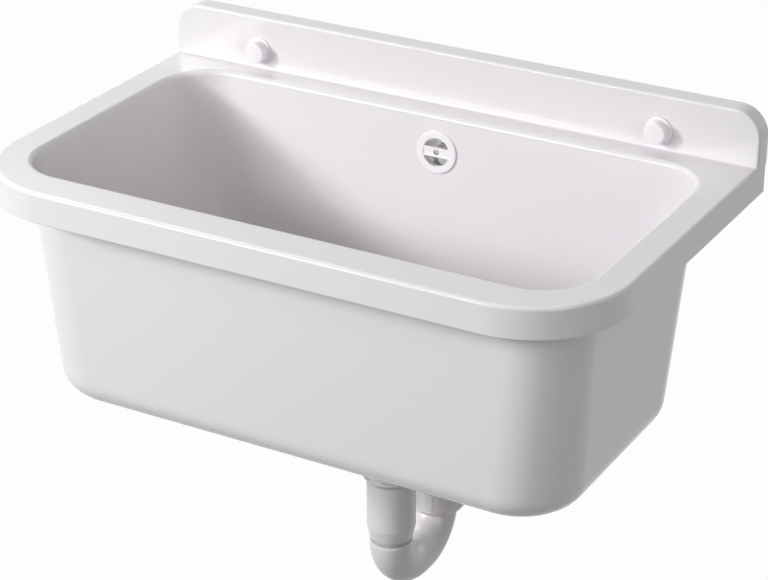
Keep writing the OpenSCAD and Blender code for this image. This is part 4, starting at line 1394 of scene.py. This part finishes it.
class SINK_OT_drain_body(bpy.types.Operator):
    """Builds the drain under the floor, with its overflow branch and threaded tail"""
    bl_idname = "sink.drain_body"
    bl_label = "Drain body"

    def execute(self, context):
        f = values("fitting_sizes")
        b = values("basin_sizes")
        low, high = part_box("drain_body")
        tail = low.z
        top = high.z
        cup_foot = top - 37 * MM
        thread_top = cup_foot - 14 * MM
        in_r = b.drain_hole_r + MM
        out_r = in_r + 3 * MM
        flange_r = out_r + 6 * MM
        pitch = 3 * MM
        groove = 0.8 * MM
        hub_r = 6 * MM
        way_r = 4.05 * MM
        hub_top = top - 6 * MM
        hub_foot = hub_top - 22 * MM
        spoke_h = 14.6 * MM
        steps = 96
        tail_z = np.arange(tail + 2 * MM, thread_top - 2 * MM, 0.4 * MM)
        tail_line = np.stack([np.full(len(tail_z), f.thread_r), tail_z], -1)
        foot_line = rounded([(0.0, tail, 0.0), (f.thread_r, tail, 0.6 * MM),
                             (f.thread_r, tail + 1.5 * MM, 0.0)])
        cup_line = rounded([
            (f.thread_r, thread_top, 0.0), (out_r, cup_foot, 2 * MM),
            (out_r, top - 6 * MM, MM), (flange_r, top - 3 * MM, 0.4 * MM),
            (flange_r, top, 0.4 * MM), (0.0, top, 0.0), (0.0, cup_foot, 0.0)])[:-1]
        profile = np.concatenate([foot_line, tail_line, cup_line])
        bump = thread_bump(profile[:, 1], steps, pitch, groove, tail + 1.5 * MM,
                           thread_top - 2 * MM)
        axis = drain_axis()
        body = placed(surface("drain", lathe_rings(profile, steps, bump)), axis)
        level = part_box("overflow_pipe")[0].z + f.pipe_r
        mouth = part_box("overflow_lower_seal")[0].y
        socket_r = f.pipe_r + 3 * MM
        reach = mouth + b.drain_y
        along = out_of_wall(0.0, mouth, level)
        branch = lathe("branch", [(0.0, 0.0, 0.0), (socket_r, 0.0, 0.6 * MM),
                                  (socket_r, reach, 0.0), (0.0, reach, 0.0)])
        combine(body, [placed(branch, along)], "UNION")
        hollow = lathe("hollow", [
            (0.0, tail - MM, 0.0), (f.bore_r, tail - MM, 0.0), (f.bore_r, thread_top, 0.0),
            (in_r, cup_foot, 2 * MM), (in_r, top + MM, 0.0), (0.0, top + MM, 0.0)])
        combine(body, [placed(hollow, axis), *pipe_socket(along, 0.0, reach)], "DIFFERENCE")
        outline = slot_outline(0.0, in_r + 1.5 * MM, 3 * MM)
        cross = [drum("hub", hub_r, hub_foot, hub_top, 64)]
        for angle in (90, 210, 330):
            cross.append(turned(prism("spoke", outline, hub_foot, hub_foot + spoke_h), angle))
        combine(body, [placed(part, axis) for part in cross], "UNION")
        way = drum("way", way_r, hub_foot - MM, hub_top + MM, 48)
        combine(body, [placed(way, axis)], "DIFFERENCE")
        join_body(body, "sink", "drain_body")
        return {"FINISHED"}


# Seals and washers

# Each ring's body, axis and bore in millimetres
RINGS = {
    "bend_seal": ("trap", "z", 17.05), "inlet_washer": ("sink", "z", 16.6),
    "outlet_washer": ("trap", "z", 16.6), "overflow_upper_seal": ("sink", "z", 11.05),
    "overflow_lower_seal": ("sink", "y", 11.05), "strainer_seal": ("sink", "z", 23.8),
    "drain_seal": ("sink", "z", 27.0), "screw_washer_left": ("sink", "y", 4.25),
    "screw_washer_right": ("sink", "y", 4.25), "drain_insert": ("sink", "z", 3.05),
}


class SINK_OT_rings(bpy.types.Operator):
    """Builds the seals and washers as rings with rounded edges"""
    bl_idname = "sink.rings"
    bl_label = "Seals and washers"

    def execute(self, context):
        for node, (body, axis, bore_mm) in RINGS.items():
            low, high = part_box(node)
            middle = (low + high) / 2
            along = high.z - low.z if axis == "z" else high.y - low.y
            piece = washer(node + "_ring", bore_mm * MM, (high.x - low.x) / 2, 0.0, along)
            place = (moved_to(middle.x, middle.y, low.z) if axis == "z"
                     else out_of_wall(middle.x, high.y, middle.z))
            join_body(placed(piece, place), body, node)
        return {"FINISHED"}


class SINK_OT_finishes(bpy.types.Operator):
    """Gives every CAD node that still shows its own material"""
    bl_idname = "sink.finishes"
    bl_label = "Finishes"

    def execute(self, context):
        for name, node in frame["nodes"].items():
            node.data.materials.clear()
            node.data.materials.append(finish(SLOTS[name]))
        return {"FINISHED"}


# Stage

def backdrop_rays(tree):
    """1 for the rays that show the backdrop: camera, glossy and transmission rays."""
    path = tree.nodes.new("ShaderNodeLightPath")
    shown = path.outputs["Is Camera Ray"]
    for label in ("Is Glossy Ray", "Is Transmission Ray"):
        either = tree.nodes.new("ShaderNodeMath")
        either.operation = "MAXIMUM"
        tree.links.new(shown, either.inputs[0])
        tree.links.new(path.outputs[label], either.inputs[1])
        shown = either.outputs[0]
    return shown


def add_backdrop(tree, lit, white, end, share_of_white):
    """Shows a white shader to the rays that show the backdrop, in a share of the whole,
    and the lit shader to all the others."""
    part = tree.nodes.new("ShaderNodeMath")
    part.operation = "MULTIPLY"
    part.inputs[1].default_value = share_of_white
    tree.links.new(backdrop_rays(tree), part.inputs[0])
    blend = tree.nodes.new("ShaderNodeMixShader")
    tree.links.new(part.outputs[0], blend.inputs[0])
    tree.links.new(lit.outputs[0], blend.inputs[1])
    tree.links.new(white.outputs[0], blend.inputs[2])
    tree.links.new(blend.outputs[0], end.inputs["Surface"])


def look_at(obj, target):
    """Turns a lamp or a camera towards a place."""
    direction = Vector(target) - obj.location
    obj.rotation_mode = "QUATERNION"
    obj.rotation_quaternion = direction.to_track_quat("-Z", "Y")


# The lamps round the sink: degrees to the right of its front, degrees up, and watts.
# The small key lamps stand at the front left, the wide fill lamps all round.
KEY_LAMPS = (
    (312, 24, 32.6), (328, 24, 9.4), (336, 24, 7.5), (320, 24, 5.6), (344, 24, 5.3),
    (312, 18, 4.1), (312, 30, 3.3),
)
FILL_LAMPS = (
    (235, 40, 16.1), (60, 15, 14.9), (180, 75, 11.3), (60, 40, 4.0), (60, 65, 2.6),
    (120, 40, 2.4), (0, 40, 2.3), (165, 5, 9.0),
)
LAMP_TARGET = (0.0, -0.17, -0.15)
CAMERA_PLACE = (0.8852, -1.7014, 0.7304)
CAMERA_TARGET = (0.0287, -0.1833, -0.1114)


def round_lamp(azimuth, rise, power, radius):
    """A round lamp that looks at the sink from a direction given in degrees."""
    studio = values("studio")
    light = bpy.data.lights.new("lamp", "AREA")
    light.shape = "DISK"
    light.size = 2 * radius
    light.energy = power * studio.lamp_share
    lamp = bpy.data.objects.new("lamp", light)
    a = math.radians(azimuth)
    e = math.radians(rise)
    spoke = Vector((math.cos(e) * math.sin(a), -math.cos(e) * math.cos(a), math.sin(e)))
    lamp.location = Vector(LAMP_TARGET) + studio.lamp_distance * spoke
    bpy.context.scene.collection.objects.link(lamp)
    look_at(lamp, LAMP_TARGET)


class SINK_OT_stage(bpy.types.Operator):
    """Makes the floor, the lights, the world and the camera"""
    bl_idname = "sink.stage"
    bl_label = "Stage"

    def execute(self, context):
        studio = values("studio")
        self.floor(studio)
        self.world(studio)
        for azimuth, rise, power in KEY_LAMPS:
            round_lamp(azimuth, rise, power, studio.key_radius)
        for azimuth, rise, power in FILL_LAMPS:
            round_lamp(azimuth, rise, power, studio.fill_radius)
        self.camera(studio)
        context.scene.view_settings.view_transform = "Standard"
        return {"FINISHED"}

    def floor(self, studio):
        """A wide floor that shows as nearly white and still takes the sink's shadow."""
        half = studio.floor_size / 2
        corners = [(x, y, studio.floor_z) for x, y in
                   ((-half, -half), (half, -half), (half, half), (-half, half))]
        mesh = bpy.data.meshes.new("floor")
        mesh.from_pydata(corners, [], [(0, 1, 2, 3)])
        floor = bpy.data.objects.new("floor", mesh)
        bpy.context.scene.collection.objects.link(floor)
        paint = bpy.data.materials.new("Pale floor")
        paint.use_nodes = True
        tree = paint.node_tree
        tree.nodes.clear()
        end = tree.nodes.new("ShaderNodeOutputMaterial")
        matt = tree.nodes.new("ShaderNodeBsdfDiffuse")
        matt.inputs["Color"].default_value = studio.floor_tone
        add_backdrop(tree, matt, tree.nodes.new("ShaderNodeEmission"), end,
                     studio.floor_white)
        mesh.materials.append(paint)

    def world(self, studio):
        """White to the rays that show the backdrop, the ambient light to all others."""
        world = bpy.data.worlds.new("Studio")
        world.use_nodes = True
        bpy.context.scene.world = world
        tree = world.node_tree
        tree.nodes.clear()
        end = tree.nodes.new("ShaderNodeOutputWorld")
        light = tree.nodes.new("ShaderNodeBackground")
        light.inputs["Strength"].default_value = studio.ambient
        white = tree.nodes.new("ShaderNodeBackground")
        white.inputs["Color"].default_value = (1.0, 1.0, 1.0, 1.0)
        add_backdrop(tree, light, white, end, 1.0)

    def camera(self, studio):
        """The camera, where the photo was taken from."""
        lens = bpy.data.cameras.new("camera")
        lens.sensor_fit = "HORIZONTAL"
        lens.sensor_width = 36.0
        lens.lens = studio.lens
        lens.clip_start = 0.05
        lens.clip_end = 100.0
        camera = bpy.data.objects.new("camera", lens)
        camera.location = CAMERA_PLACE
        bpy.context.scene.collection.objects.link(camera)
        look_at(camera, CAMERA_TARGET)
        bpy.context.scene.camera = camera


class SINK_PT_panel(bpy.types.Panel):
    """Lists the sizes, the finishes and the steps that build the sink"""
    bl_idname = "SINK_PT_panel"
    bl_label = "Moulded sink"
    bl_space_type = "VIEW_3D"
    bl_region_type = "UI"
    bl_category = "Sink"

    def draw(self, context):
        for operator in OPERATORS:
            self.layout.operator(operator.bl_idname)
        for name, group in SETTINGS.items():
            box = self.layout.box()
            for key in group.__annotations__:
                box.prop(getattr(context.scene, name), key)


SETTINGS = {
    "basin_sizes": BasinSizes,
    "fitting_sizes": FittingSizes,
    "sink_finish": SinkFinish,
    "studio": StudioSettings,
}
OPERATORS = (
    SINK_OT_finishes, SINK_OT_basin, SINK_OT_caps, SINK_OT_rosette, SINK_OT_union_nuts,
    SINK_OT_pipe_nuts, SINK_OT_inlet_tube, SINK_OT_trap_bend, SINK_OT_outlet_elbow,
    SINK_OT_overflow_pipe, SINK_OT_wall_fixings, SINK_OT_overflow_cup, SINK_OT_strainer,
    SINK_OT_drain_body, SINK_OT_rings, SINK_OT_stage,
)
CLASSES = tuple(SETTINGS.values()) + OPERATORS + (SINK_PT_panel,)


def register():
    """Adds the settings, the operators and the panel."""
    for cls in CLASSES:
        bpy.utils.register_class(cls)
    for name, group in SETTINGS.items():
        setattr(bpy.types.Scene, name, bpy.props.PointerProperty(type=group))


def unregister():
    """Takes them away again."""
    for name in SETTINGS:
        delattr(bpy.types.Scene, name)
    for cls in reversed(CLASSES):
        bpy.utils.unregister_class(cls)


def main():
    """Runs every operator in order."""
    register()
    for operator in OPERATORS:
        group, action = operator.bl_idname.split(".")
        getattr(getattr(bpy.ops, group), action)()


if __name__ == "__main__":
    main()
